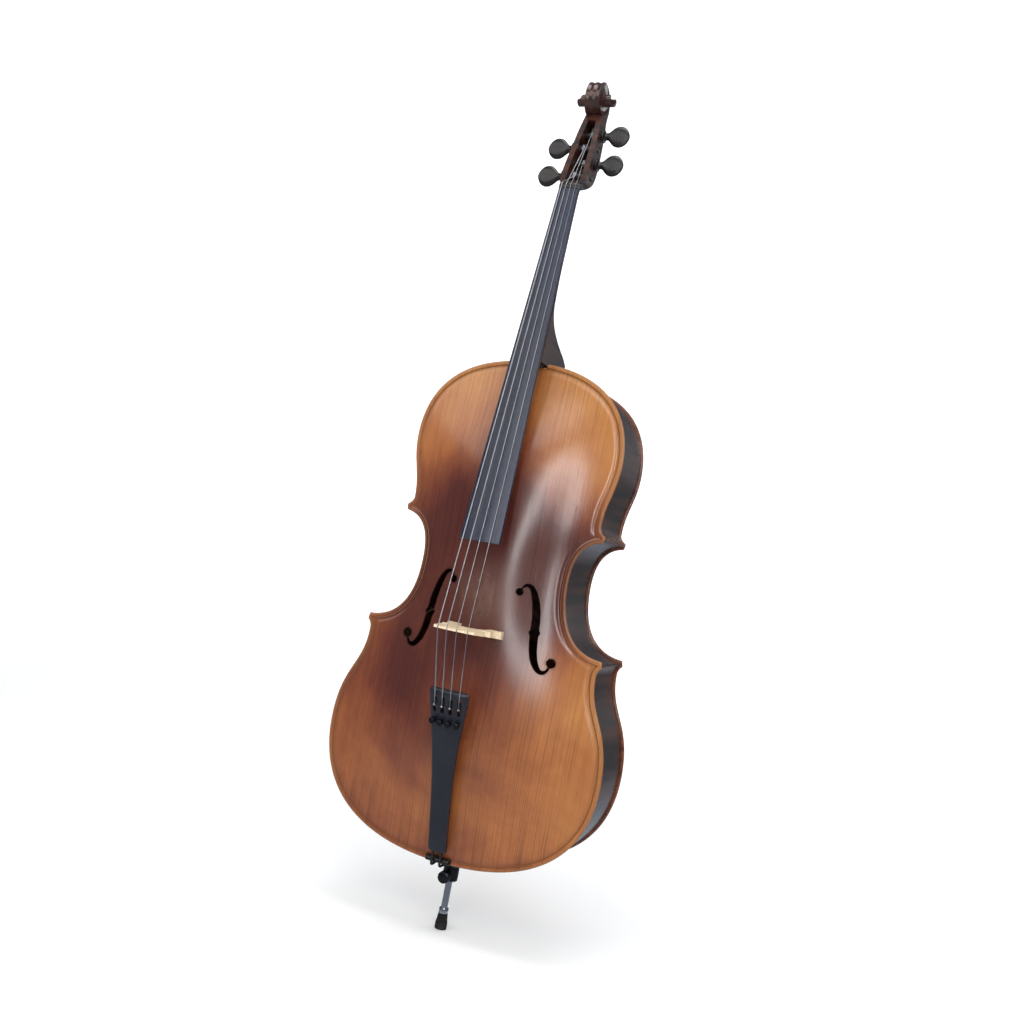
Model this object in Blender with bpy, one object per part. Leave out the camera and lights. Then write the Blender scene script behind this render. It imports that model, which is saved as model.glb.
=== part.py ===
"""Full-size cello as an assembly of separate closed pieces.

Frame: X to the treble side, Y to the back, Z up. The world's Z = 0 is the flat bottom of the
endpin's rubber tip, Y = 0 the middle of the rib height, X = 0 the centre line. Shapes are laid
out in millimetres with z measured up from the bottom edge of the body; make() moves them up by
TIP and turns them into metres. "Right" means +X, "front" means -Y.
"""

import math
from collections import namedtuple

import bmesh
import bpy
import numpy as np
from mathutils import Vector
from mathutils.bvhtree import BVHTree
from mathutils.geometry import delaunay_2d_cdt

# ---- driving dimensions, millimetres; pairs are (x, z) ----
TIP = 112.0                   # body's bottom edge above the endpin tip
BODY = 755.0                  # body length
LOWER_WIDE = (219.5, 167.0)   # widest place of the lower bout
UPPER_WIDE = (166.0, 621.0)   # widest place of the upper bout
WAIST = (118.0, 436.0)        # narrowest place
CORNER_LOWER = (190.5, 332.0)   # middle of each corner's tip
CORNER_UPPER = (161.0, 508.0)
TIP_LOWER, TIP_UPPER = 9.0, 8.5   # height of the blunt end of each corner
JOIN_LOWER = (184.0, 313.0)   # where each bout turns out towards its corner
JOIN_UPPER = (151.5, 525.0)
EDGE_Y = 61.5                 # outer plane of each plate's edge
GLUE_Y = 57.0                 # glue plane of each plate
RIB_Y = 56.7                  # half height of ribs and blocks
OVERHANG, RIB_T = 4.0, 1.5    # plate edge beyond the ribs; rib thickness
RIB_IN = OVERHANG + RIB_T     # inner face of the ribs, in from the plate edge
INNER = RIB_IN + 0.5          # outer face of blocks and linings, in from the plate edge
ARCH_TOP, ARCH_BACK = 27.0, 25.0
GAP = 0.3                     # clearance between neighbouring pieces
STOP = 345.0                  # height of the bridge up the body
BRIDGE_H = 87.0
NUT_Z, NUT_END = 1030.0, 1040.0
BUTTON_Z, BUTTON_W = 777.0, 16.0   # top and half width of the back plate's button
TENON_Z, TENON_W = 747.0, 17.0     # bottom and half width of the neck's lowest part
SADDLE_HALF, SADDLE_TOP = 20.0, 9.0   # half width and upper edge of the saddle

STRING_R = {"c": 0.85, "g": 0.65, "d": 0.5, "a": 0.42}
STRING_PLACE = {"c": -1.5, "g": -0.5, "d": 0.5, "a": 1.5}   # in string spacings
NUT_SPACING, BRIDGE_SPACING, TAIL_SPACING = 7.5, 15.2, 12.6
PEGS = {"c": (-1, 1061.0), "a": (1, 1085.0), "g": (-1, 1113.0), "d": (1, 1138.0)}  # side, z
SIDES = {"R": 1, "L": -1}

UP, FRONT, RIGHT = (0, 0, 1), (0, -1, 0), (1, 0, 0)

# ---- finishes: linear base colour, roughness, metallic ----
Finish = namedtuple("Finish", "colour roughness metallic", defaults=(0.0,))

TOP_VARNISH = Finish(colour=(0.30, 0.105, 0.035), roughness=0.25)
BACK_VARNISH = Finish(colour=(0.16, 0.06, 0.03), roughness=0.25)
DARKWOOD = Finish(colour=(0.075, 0.030, 0.016), roughness=0.3)
SPRUCE = Finish(colour=(0.62, 0.45, 0.27), roughness=0.7)
MAPLE = Finish(colour=(0.62, 0.50, 0.34), roughness=0.5)
EBONY = Finish(colour=(0.012, 0.012, 0.016), roughness=0.35)
GLOSSY_EBONY = EBONY._replace(roughness=0.3)
MATT_EBONY = EBONY._replace(roughness=0.4)
STEEL = Finish(colour=(0.62, 0.62, 0.64), roughness=0.3, metallic=1.0)
SCREW_STEEL = STEEL._replace(roughness=0.25)
ROD_STEEL = STEEL._replace(roughness=0.2)
GUT = Finish(colour=(0.02, 0.02, 0.022), roughness=0.5)
COLLAR_METAL = Finish(colour=(0.05, 0.05, 0.055), roughness=0.3, metallic=0.8)
KNOB_METAL = Finish(colour=(0.06, 0.06, 0.065), roughness=0.3, metallic=0.8)
CHROME = Finish(colour=(0.8, 0.8, 0.82), roughness=0.12, metallic=1.0)
RUBBER = Finish(colour=(0.015, 0.015, 0.015), roughness=0.8)

for old in list(bpy.data.objects):
    bpy.data.objects.remove(old, do_unlink=True)
for old in list(bpy.data.meshes):
    bpy.data.meshes.remove(old)
for old in list(bpy.data.materials):
    bpy.data.materials.remove(old)


# ---------------------------------------------------------------- objects
def material(name, finish):
    mat = bpy.data.materials.new(name)
    mat.use_nodes = True
    node = mat.node_tree.nodes["Principled BSDF"]
    node.inputs["Base Color"].default_value = (*finish.colour, 1.0)
    node.inputs["Roughness"].default_value = finish.roughness
    node.inputs["Metallic"].default_value = finish.metallic
    mat.diffuse_color = (*finish.colour, 1.0)
    return mat


def add_mesh(name, shape, origin=(0.0, 0.0, -TIP), angle=35.0):
    """Object from a shape, a (vertices, faces) pair in body millimetres.

    origin is the place of the object's own origin, angle the limit of smooth shading.
    """
    verts, faces = shape
    base = np.array(origin, float)
    points = (np.asarray(verts, float) - base) / 1000.0
    mesh = bpy.data.meshes.new(name)
    mesh.from_pydata([tuple(p) for p in points], [], [tuple(int(i) for i in f) for f in faces])
    bm = bmesh.new()
    bm.from_mesh(mesh)
    bmesh.ops.remove_doubles(bm, verts=bm.verts, dist=1e-6)
    bmesh.ops.recalc_face_normals(bm, faces=bm.faces)
    if bm.calc_volume(signed=True) < 0:
        bmesh.ops.reverse_faces(bm, faces=bm.faces)
    bm.to_mesh(mesh)
    bm.free()
    mesh.polygons.foreach_set("use_smooth", [True] * len(mesh.polygons))
    mesh.set_sharp_from_angle(angle=math.radians(angle))
    obj = bpy.data.objects.new(name, mesh)
    obj.location = tuple((base + [0.0, 0.0, TIP]) / 1000.0)
    bpy.context.scene.collection.objects.link(obj)
    return obj


def make(name, shape, finish, **options):
    """Visible piece with its own material."""
    obj = add_mesh(name, shape, **options)
    obj.data.materials.append(material(name + "_mat", finish))
    return obj


def make_helper(name, shape):
    """Hidden shape that a boolean modifier uses."""
    obj = add_mesh(name, shape)
    obj.hide_render = True
    obj.display_type = "WIRE"
    return obj


def boolean(obj, other, operation="DIFFERENCE"):
    mod = obj.modifiers.new(operation.lower() + "_" + other.name, "BOOLEAN")
    mod.operation = operation
    mod.solver = "EXACT"
    mod.object = other


# ---------------------------------------------------------------- shapes
def unit_circle(count):
    angles = [2 * math.pi * j / count for j in range(count)]
    return [(math.cos(a), math.sin(a)) for a in angles]


def loft(rings):
    """Skin through equal rings, with closed ends."""
    n = len(rings[0])
    verts = [tuple(p) for ring in rings for p in ring]
    faces = []
    for i in range(len(rings) - 1):
        for j in range(n):
            k = (j + 1) % n
            faces.append((i * n + j, i * n + k, (i + 1) * n + k, (i + 1) * n + j))
    faces.append(tuple(range(n)))
    faces.append(tuple((len(rings) - 1) * n + j for j in range(n)))
    return verts, faces


def lathe(profile, origin, axis, count=16):
    """Solid of revolution from (radius, distance along axis) pairs, with flat ends."""
    axis = Vector(axis).normalized()
    side = axis.orthogonal().normalized()
    other = axis.cross(side)
    origin = Vector(origin)
    return loft([
        [origin + axis * d + side * (r * c) + other * (r * s) for c, s in unit_circle(count)]
        for r, d in profile
    ])


def cylinder(radius, start, stop, origin, axis, count):
    return lathe([(radius, start), (radius, stop)], origin, axis, count)


def tube(path, radii, count=6):
    """Round bar along a path with a radius at each point."""
    path = [Vector(p) for p in path]
    rings = []
    normal = None
    for i, (point, radius) in enumerate(zip(path, radii)):
        if i == 0:
            ahead = path[1] - point
        elif i == len(path) - 1:
            ahead = point - path[i - 1]
        else:
            ahead = (path[i + 1] - point).normalized() + (point - path[i - 1]).normalized()
        ahead = ahead.normalized()
        if normal is None:
            normal = ahead.orthogonal()
        else:
            normal = normal - ahead * normal.dot(ahead)
        normal = normal.normalized()
        other = ahead.cross(normal)
        rings.append([point + normal * (radius * c) + other * (radius * s)
                      for c, s in unit_circle(count)])
    return loft(rings)


def prism(outline):
    """Outline in (x, z) filled over the whole rib height."""
    return loft([[(x, y, z) for x, z in outline] for y in (-RIB_Y, RIB_Y)])


def strip(outer, inner, y0, y1):
    """Bent strip between two curves in (x, z), from y0 to y1."""
    return loft([
        [(p[0], y0, p[1]), (p[0], y1, p[1]), (q[0], y1, q[1]), (q[0], y0, q[1])]
        for p, q in zip(outer, inner)
    ])


def mirrored(shape, side):
    """The shape itself for side 1, its mirror image across X = 0 for side -1."""
    verts, faces = shape
    return [(x * side, y, z) for x, y, z in verts], faces


def x_ring(x, y, z, half_y, half_z, count):
    """Ellipse round (y, z), square to the X axis."""
    return [(x, y + half_y * c, z + half_z * s) for c, s in unit_circle(count)]


def sag(x, radius):
    """Drop of an arc of the given radius at x from its middle."""
    return radius - math.sqrt(radius * radius - x * x)


# ---------------------------------------------------------------- plane curves
def bezier(start, handle_a, handle_b, end, count):
    t = np.linspace(0, 1, count + 1)[:, None]
    start, handle_a, handle_b, end = map(np.array, (start, handle_a, handle_b, end))
    return ((1 - t) ** 3 * start + 3 * (1 - t) ** 2 * t * handle_a
            + 3 * (1 - t) * t * t * handle_b + t ** 3 * end)


def chain(parts):
    """Curves joined end to end, each shared point once."""
    out = [parts[0][0]]
    for part in parts:
        out.extend(part[1:])
    return np.array(out, float)


def mirror_close(half):
    """Closed outline from its right half."""
    left = half[(half[:, 0] > 1e-6)][::-1].copy()
    left[:, 0] *= -1
    return np.vstack([half, left])


def distance(points, curve, closed=False):
    """Least distance from each point to a polyline."""
    starts = curve if closed else curve[:-1]
    ends = np.roll(curve, -1, axis=0) if closed else curve[1:]
    best = np.full(len(points), 1e9)
    for start, run in zip(starts, ends - starts):
        t = np.clip(((points - start) @ run) / max(run @ run, 1e-12), 0, 1)
        best = np.minimum(best, np.hypot(*(points - start - t[:, None] * run).T))
    return best


def inside(points, poly):
    """Which points lie within a closed outline, by counting crossings."""
    x, z = points[:, 0], points[:, 1]
    odd = np.zeros(len(points), bool)
    for (x0, z0), (x1, z1) in zip(poly, np.roll(poly, -1, axis=0)):
        if z0 == z1:
            continue
        crosses = (z0 > z) != (z1 > z)
        odd ^= crosses & (x < (x1 - x0) * (z - z0) / (z1 - z0) + x0)
    return odd


def normals(curve):
    """Unit vectors to the left of an open curve."""
    ahead = np.gradient(curve, axis=0)
    ahead /= np.maximum(np.hypot(ahead[:, 0], ahead[:, 1]), 1e-9)[:, None]
    return np.stack([-ahead[:, 1], ahead[:, 0]], axis=1)


def offset(curve, shift):
    """Open curve moved to its left, which is into the body for the outline curves."""
    return curve + shift * normals(curve)


def resample(curve, step):
    """Curve with evenly spaced points about one step apart."""
    lengths = np.concatenate([[0], np.cumsum(np.hypot(*np.diff(curve, axis=0).T))])
    count = max(2, int(round(lengths[-1] / step)) + 1)
    places = np.linspace(0, lengths[-1], count)
    return np.stack([np.interp(places, lengths, curve[:, k]) for k in (0, 1)], axis=1)


# ---------------------------------------------------------------- outline of the body
def bout_curves(count):
    """Right half outline as three curves, upwards: lower bout, waist, upper bout."""
    short = max(3, count // 3)
    wide_x, wide_z = LOWER_WIDE
    join_x, join_z = JOIN_LOWER
    corner_x, corner_z = CORNER_LOWER
    rise = join_z - wide_z
    tip = (corner_x, corner_z - TIP_LOWER / 2)
    tip_rise = tip[1] - join_z
    lower = [
        bezier((0, 0), (0.66 * wide_x, 0), (wide_x, wide_z * 0.37), LOWER_WIDE, 2 * count),
        bezier(LOWER_WIDE, (wide_x, wide_z + 0.55 * rise), (join_x, join_z - 0.40 * rise),
               JOIN_LOWER, count),
        bezier(JOIN_LOWER, (join_x, join_z + 0.45 * tip_rise),
               (tip[0] - 5, tip[1] - 0.30 * tip_rise), tip, short),
    ]

    waist_x, waist_z = WAIST
    foot = (corner_x - 2.0, corner_z + TIP_LOWER / 2)
    rise, reach = waist_z - foot[1], foot[0] - waist_x
    waist = [bezier(foot, (foot[0] - 0.62 * reach, foot[1] + 0.02 * rise),
                    (waist_x, waist_z - 0.66 * rise), WAIST, count)]
    corner_x, corner_z = CORNER_UPPER
    head = (corner_x - 1.5, corner_z - TIP_UPPER / 2)
    rise, reach = head[1] - waist_z, head[0] - waist_x
    waist.append(bezier(WAIST, (waist_x, waist_z + 0.66 * rise),
                        (head[0] - 0.62 * reach, head[1] - 0.06 * rise), head, count))

    wide_x, wide_z = UPPER_WIDE
    join_x, join_z = JOIN_UPPER
    tip = (corner_x, corner_z + TIP_UPPER / 2)
    tip_rise = join_z - tip[1]
    rise = wide_z - join_z
    upper = [
        bezier(tip, (tip[0] - 5, tip[1] + 0.30 * tip_rise),
               (join_x, join_z - 0.45 * tip_rise), JOIN_UPPER, short),
        bezier(JOIN_UPPER, (join_x, join_z + 0.40 * rise), (wide_x, wide_z - 0.42 * rise),
               UPPER_WIDE, count),
        bezier(UPPER_WIDE, (wide_x, wide_z + 0.63 * (BODY - wide_z)), (0.65 * wide_x, BODY),
               (0, BODY), 2 * count),
    ]
    return chain(lower), chain(waist), chain(upper)


HALF = np.vstack(bout_curves(10))
OUTLINE = mirror_close(HALF)
# Finely and evenly divided curves that ribs, linings and blocks follow.
CURVES = {name: resample(curve, 4.0)
          for name, curve in zip(("lower", "c", "upper"), bout_curves(40))}
FINE_OUTLINE = mirror_close(np.vstack(list(CURVES.values())))

# ---------------------------------------------------------------- arching
FIELD_STEP = 8.0
FIELD_ROUNDS, FIELD_SWEEPS = 9, 160   # load corrections; relaxation sweeps in each
RELAXATION = 1.85                     # over-relaxation factor
END_RUN, END_POWER = 185.0, 2.2       # length and shape of the centre line's rise at each end


def arch_field(poly):
    """Smooth membrane over the outline, near 1 along most of the centre line, 0 at the edge.

    The membrane equation is solved on a grid whose arms are cut short where they meet the
    outline; the load on each row is adjusted until the centre line follows its goal.
    """
    step = FIELD_STEP
    xs = np.arange(-232, 232.1, step)
    zs = np.arange(-8, BODY + 9, step)
    grid_x, grid_z = np.meshgrid(xs, zs)
    mask = inside(np.stack([grid_x.ravel(), grid_z.ravel()], 1), poly).reshape(grid_x.shape)

    east, west, north, south = (np.full(mask.shape, step) for _ in range(4))
    following = np.roll(poly, -1, axis=0)
    for axis, lines, coords, plus, minus in ((0, zs, xs, east, west),
                                             (1, xs, zs, north.T, south.T)):
        starts, ends = poly[:, 1 - axis], following[:, 1 - axis]
        for i, value in enumerate(lines):
            hit = (starts > value) != (ends > value)
            t = (value - starts[hit]) / (ends[hit] - starts[hit])
            for cut in poly[hit, axis] + t * (following[hit, axis] - poly[hit, axis]):
                gap = cut - coords
                ahead = (gap > 0) & (gap < step)
                behind = (gap < 0) & (gap > -step)
                plus[i, ahead] = np.maximum(gap[ahead], 0.08 * step)
                minus[i, behind] = np.maximum(-gap[behind], 0.08 * step)

    to_east, to_west = 2 / (east * (east + west)), 2 / (west * (east + west))
    to_north, to_south = 2 / (north * (north + south)), 2 / (south * (north + south))
    weight = to_east + to_west + to_north + to_south
    # A shortened arm ends on the outline, where the height is 0.
    to_east, to_west, to_north, to_south = (
        np.where(arm < step, 0, pull)
        for arm, pull in ((east, to_east), (west, to_west), (north, to_north), (south, to_south)))

    parity = (np.add.outer(np.arange(len(zs)), np.arange(len(xs))) % 2).astype(bool)
    goal = 1 - (1 - np.clip(np.minimum(zs, BODY - zs) / END_RUN, 0, 1)) ** END_POWER
    load = np.full(len(zs), 1e-4)
    rise = np.zeros(mask.shape)
    middle = int(np.argmin(abs(xs)))
    rows = mask[:, middle]
    for _ in range(FIELD_ROUNDS):
        for _ in range(FIELD_SWEEPS):
            for colour in (parity, ~parity):
                total = (to_east * np.roll(rise, -1, 1) + to_west * np.roll(rise, 1, 1)
                         + to_north * np.roll(rise, -1, 0) + to_south * np.roll(rise, 1, 0)
                         + load[:, None])
                pick = mask & colour
                rise[pick] += RELAXATION * (total[pick] / weight[pick] - rise[pick])
        ratio = np.ones(len(zs))
        ratio[rows] = goal[rows] / np.maximum(rise[rows, middle], 1e-3)
        load = load * np.clip(ratio, 0.3, 3.0)
        for _ in range(2):
            load[1:-1] = 0.25 * load[:-2] + 0.5 * load[1:-1] + 0.25 * load[2:]
    rise = np.clip(rise, 0, 1.04)
    return xs, zs, rise / max(1.0, rise.max())


ARCH_FIELD = arch_field(OUTLINE)


def arch_height(x, z):
    """Height of the arch, 0 to 1, at points."""
    xs, zs, rise = ARCH_FIELD
    x, z = np.asarray(x, float), np.asarray(z, float)
    column = np.clip((x - xs[0]) / (xs[1] - xs[0]), 0, len(xs) - 1.001)
    row = np.clip((z - zs[0]) / (zs[1] - zs[0]), 0, len(zs) - 1.001)
    i, j = column.astype(int), row.astype(int)
    right, above = column - i, row - j
    value = (rise[j, i] * (1 - right) * (1 - above) + rise[j, i + 1] * right * (1 - above)
             + rise[j + 1, i] * (1 - right) * above + rise[j + 1, i + 1] * right * above)
    return np.cos(0.5 * math.pi * np.sqrt(np.clip(1 - value, 0, 1))) ** 2


# ---------------------------------------------------------------- flat sheets of triangles
def triangulate(loops, extra):
    """Points and triangles inside the first loop and outside the others."""
    edges = []
    start = 0
    for loop in loops:
        edges += [(start + i, start + (i + 1) % len(loop)) for i in range(len(loop))]
        start += len(loop)
    flat = np.vstack([*loops, extra])
    out = delaunay_2d_cdt([Vector(p) for p in flat], edges, [], 0, 1e-5)
    points = np.array([tuple(v) for v in out[0]])
    tris = np.array(out[2])
    middle = points[tris].mean(axis=1)
    keep = inside(middle, loops[0])
    for hole in loops[1:]:
        keep &= ~inside(middle, hole)
    tris = tris[keep]
    used = np.unique(tris)
    return points[used], np.searchsorted(used, tris)


def slab_faces(tris, count):
    """Faces of a slab whose two sides have count vertices each, one side after the other."""
    seen = {}
    for tri in tris:
        for a, b in ((tri[0], tri[1]), (tri[1], tri[2]), (tri[2], tri[0])):
            seen.setdefault((min(a, b), max(a, b)), []).append((a, b))
    rims = [uses[0] for uses in seen.values() if len(uses) == 1]
    walls = [(a, b, b + count, a + count) for a, b in rims]
    return [tuple(t) for t in tris] + [tuple(t[::-1] + count) for t in tris] + walls


# ---------------------------------------------------------------- plates
GRID = 27.0        # spacing of plate points
ROW_RATIO = 0.87   # row spacing of the triangular grid over its point spacing

# Middle line of the sound hole's stroke and half its width: x, z, half width.
F_STROKE = np.array([
    [57.0, 420.5, 1.6], [63.5, 424.0, 2.6], [71.0, 418.5, 4.0], [78.0, 402.0, 5.4],
    [82.8, 380.0, 6.0], [84.6, 358.0, 6.2], [87.0, 336.0, 6.0], [92.5, 317.0, 5.2],
    [101.0, 305.5, 3.8], [109.5, 305.0, 2.6], [114.0, 311.0, 1.8],
])
F_EYE_UPPER, F_EYE_UPPER_R = np.array([53.0, 412.5]), 5.6
F_EYE_LOWER, F_EYE_LOWER_R = np.array([116.5, 319.5]), 7.2


def eye_arc(centre, radius, start, stop):
    """The long way round an eye, from the direction of start to that of stop."""
    angle_start = math.atan2(*(start - centre)[::-1])
    angle_stop = math.atan2(*(stop - centre)[::-1])
    while angle_stop <= angle_start:
        angle_stop += 2 * math.pi
    if angle_stop - angle_start < math.pi:
        angle_stop -= 2 * math.pi
    angles = np.linspace(angle_start, angle_stop, 12)
    return centre + radius * np.stack([np.cos(angles), np.sin(angles)], 1)


def f_hole():
    """Right-hand sound hole as one loop: a stroke between two round eyes."""
    line, half = F_STROKE[:, :2], F_STROKE[:, 2:]
    shift = normals(line) * half
    left, right = line + shift, line - shift
    lower = eye_arc(F_EYE_LOWER, F_EYE_LOWER_R, right[-1], left[-1])
    upper = eye_arc(F_EYE_UPPER, F_EYE_UPPER_R, left[0], right[0])
    return np.vstack([right, lower, left[::-1], upper])


def top_outline():
    """Outline with notches for the saddle and the neck."""
    notch_x, notch_z = SADDLE_HALF + GAP, SADDLE_TOP + GAP
    low = [[0, notch_z], [notch_x, notch_z], [notch_x, 0.55]]
    high = [[24.6, 753.6], [24.6, TENON_Z - GAP], [0, TENON_Z - GAP]]
    return mirror_close(np.vstack([low, HALF[HALF[:, 0] > 24.9], high]))


def back_outline():
    """Outline with the round button above the upper edge."""
    angles = np.linspace(0, math.pi / 2, 6)
    button = np.stack([(BUTTON_W - 1) * np.cos(angles),
                       BODY + 6 + (BUTTON_Z - BODY - 6) * np.sin(angles)], 1)
    half = HALF[HALF[:, 0] > BUTTON_W + 2]
    return mirror_close(np.vstack([HALF[:1], half, [[BUTTON_W + 0.5, BODY + 0.2]], button]))


def plate_points(loops):
    """Inner points of a plate: two rings along the edge and a triangular grid."""
    points = []
    for depth, every in ((8.0, 1), (20.0, 2)):
        ring = np.vstack([offset(curve, depth) for curve in bout_curves(7)])
        ring = ring[ring[:, 0] > 2]
        ring = ring[distance(ring, FINE_OUTLINE, True) > 0.93 * depth][::every]
        points.append(np.vstack([ring, ring * [-1, 1]]))
    grid = np.array([((i + 0.5 * (j % 2)) * GRID, 8 + j * GRID * ROW_RATIO)
                     for j in range(int(BODY / (GRID * ROW_RATIO)) + 1)
                     for i in range(-11, 12)])
    grid = np.vstack([grid[grid[:, 0] >= 0], grid[grid[:, 0] > 0] * [-1, 1]])
    grid = grid[inside(grid, FINE_OUTLINE)]
    grid = grid[distance(grid, FINE_OUTLINE, True) > 32]
    points.append(np.unique(np.round(grid, 4), axis=0))
    extra = np.vstack(points)
    extra = extra[inside(extra, loops[0]) & (distance(extra, loops[0], True) > 3.0)]
    for hole in loops[1:]:
        extra = extra[~inside(extra, hole) & (distance(extra, hole, True) > 6.0)]
    return extra


def plate(name, loops, side, arch, finish):
    """Arched plate; side is the Y direction it faces. Returns its outer and inner surfaces."""
    points, tris = triangulate(loops, plate_points(loops))
    rise = arch * arch_height(points[:, 0], np.clip(points[:, 1], 0, BODY))
    outer, inner = (np.stack([points[:, 0], side * (y + rise), points[:, 1]], 1)
                    for y in (EDGE_Y, GLUE_Y))
    make(name, (np.vstack([outer, inner]), slab_faces(tris, len(points))), finish, angle=30)
    polygons = [tuple(int(i) for i in t) for t in tris]
    return [BVHTree.FromPolygons([Vector(p) for p in face], polygons) for face in (outer, inner)]


def surface_y(tree, x, z, default):
    """Y of a plate surface at (x, z); default where there is no surface."""
    hit = tree.ray_cast(Vector((x, -400.0, z)), Vector((0, 1, 0)))[0]
    return hit.y if hit is not None else default


F_RIGHT = f_hole()
TOP_OUT, TOP_IN = plate("top_plate", [top_outline(), F_RIGHT, F_RIGHT * [-1, 1]],
                        -1, ARCH_TOP, TOP_VARNISH)
_, BACK_IN = plate("back_plate", [back_outline()], 1, ARCH_BACK, BACK_VARNISH)

# ---------------------------------------------------------------- ribs, blocks, linings
RIB_STEP = {"lower": 3, "c": 2, "upper": 3}       # curve points per rib section
LINING_STEP = {"lower": 6, "c": 2, "upper": 6}
NEIGHBOURS = {"lower": ["c"], "c": ["lower", "upper"], "upper": ["c"]}
BLOCK_HALF = 46.0       # half width of the end blocks
LINING_H, LINING_T = 14.0, 2.0

PLUG_CUTTER = make_helper("plug_cutter", cylinder(13.4, -4.0, 60.0, (0, 0, 0), UP, 24))


def thinned(keep, step):
    """Kept places on a curve, only every step-th of the whole curve plus the two ends."""
    kept = np.nonzero(keep)[0]
    return np.array([i for i in kept if i % step == 0 or i in (kept[0], kept[-1])])


def rib(which):
    """Right-hand rib, cut back at the corners, the bottom joint and the neck."""
    curve = CURVES[which]
    outer, inner = offset(curve, OVERHANG), offset(curve, RIB_IN)
    keep = np.ones(len(curve), bool)
    for other in NEIGHBOURS[which]:
        for line in (outer, inner):
            keep &= distance(line, CURVES[other]) >= RIB_IN + 0.4
    keep = thinned(keep, RIB_STEP[which])
    outer, inner = outer[keep], inner[keep]
    if which == "lower":
        outer = np.vstack([[0.15, OVERHANG], outer[1:]])
        inner = np.vstack([[0.15, RIB_IN], inner[1:]])
    if which == "upper":
        end = TENON_W + 0.6
        clear = outer[:, 0] > end + 1.0
        outer = np.vstack([outer[clear], [end, BODY - OVERHANG]])
        inner = np.vstack([inner[clear], [end, BODY - RIB_IN]])
    return strip(outer, inner, -RIB_Y, RIB_Y)


for tag, side in SIDES.items():
    for which in CURVES:
        rib_obj = make(f"rib_{which}_{tag}", mirrored(rib(which), side), DARKWOOD)
        if which == "lower":
            boolean(rib_obj, PLUG_CUTTER)


def corner_outline(first, second, first_reach, second_reach):
    """Right-hand corner block: along the lower curve up to the corner, then along the upper."""
    below, above = offset(CURVES[first], INNER), offset(CURVES[second], INNER)
    keep_below = distance(below, CURVES[second]) > INNER + 0.4
    keep_above = distance(above, CURVES[first]) > INNER + 0.4
    keep_below &= np.hypot(*(below - below[keep_below][-1]).T) < first_reach
    keep_above &= np.hypot(*(above - above[keep_above][0]).T) < second_reach
    return np.vstack([below[thinned(keep_below, RIB_STEP[first])],
                      above[thinned(keep_above, RIB_STEP[second])]])


BLOCK_LOWER = corner_outline("lower", "c", 46.0, 34.0)
BLOCK_UPPER = corner_outline("c", "upper", 30.0, 38.0)
for tag, side in SIDES.items():
    make(f"block_corner_lower_{tag}", mirrored(prism(BLOCK_LOWER), side), SPRUCE)
    make(f"block_corner_upper_{tag}", mirrored(prism(BLOCK_UPPER), side), SPRUCE)


def end_block_curve(which, clear):
    """Part of a bout's inner line between x = clear and the side of the end block."""
    line = offset(CURVES[which], INNER)
    return line[thinned((line[:, 0] > clear) & (line[:, 0] < BLOCK_HALF), 3)]


def lower_block():
    line = end_block_curve("lower", 0.5)
    half = np.vstack([[0, INNER], line, [line[-1, 0], 34.0]])
    boolean(make("block_lower", prism(mirror_close(half)), SPRUCE), PLUG_CUTTER)


def upper_block():
    """Block with a notch for the foot of the neck."""
    notch_x, notch_z, bottom = TENON_W + 0.4, TENON_Z - 0.4, 702.0
    line = end_block_curve("upper", 18.5)
    half = np.vstack([[0, bottom], [line[0, 0], bottom], line,
                      [notch_x, line[-1, 1]], [notch_x, notch_z], [0, notch_z]])
    make("block_upper", prism(mirror_close(half)), SPRUCE)


def linings(which, low_z, high_z):
    """Four strips along the inside of a bout's ribs, clear of the blocks by 3 mm."""
    curve = CURVES[which]
    middle = offset(curve, INNER + LINING_T / 2)
    keep = (middle[:, 1] > low_z + 3) & (middle[:, 1] < high_z - 3)
    if which != "c":
        keep &= middle[:, 0] > BLOCK_HALF + 3
    pick = thinned(keep, LINING_STEP[which])
    outer, inner = offset(curve, INNER)[pick], offset(curve, INNER + LINING_T)[pick]
    for tag, side in SIDES.items():
        for face, y in (("front", -RIB_Y), ("back", RIB_Y - LINING_H)):
            shape = strip(outer, inner, y, y + LINING_H)
            make(f"lining_{which}_{face}_{tag}", mirrored(shape, side), SPRUCE)


lower_block()
upper_block()
linings("lower", -math.inf, BLOCK_LOWER[0, 1])
linings("c", BLOCK_LOWER[-1, 1], BLOCK_UPPER[0, 1])
linings("upper", BLOCK_UPPER[-1, 1], math.inf)

# ---------------------------------------------------------------- bass bar and soundpost
BAR_Z0, BAR_Z1 = 92, 668
BAR_HALF = 5.5       # half width
BAR_RUN = 150        # length of the taper at each end


def bass_bar():
    """Bar under the top plate, slightly slanted, lower at both ends."""
    rings = []
    for z in np.linspace(BAR_Z0, BAR_Z1, 30):
        x = -22.0 - 0.012 * ((BAR_Z0 + BAR_Z1) / 2 - z)
        taper = min((z - BAR_Z0) / BAR_RUN, (BAR_Z1 - z) / BAR_RUN, 1)
        tall = 5 + 19 * math.sin(0.5 * math.pi * taper)
        left, right = x - BAR_HALF, x + BAR_HALF
        left_y = surface_y(TOP_IN, left, z, -GLUE_Y) + 0.6
        right_y = surface_y(TOP_IN, right, z, -GLUE_Y) + 0.6
        crest = max(left_y, right_y) + tall
        rings.append([(left, left_y, z), (right, right_y, z), (right, crest - 1.5, z),
                      (x + 3, crest, z), (x - 3, crest, z), (left, crest - 1.5, z)])
    make("bass_bar", loft(rings), SPRUCE)


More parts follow.
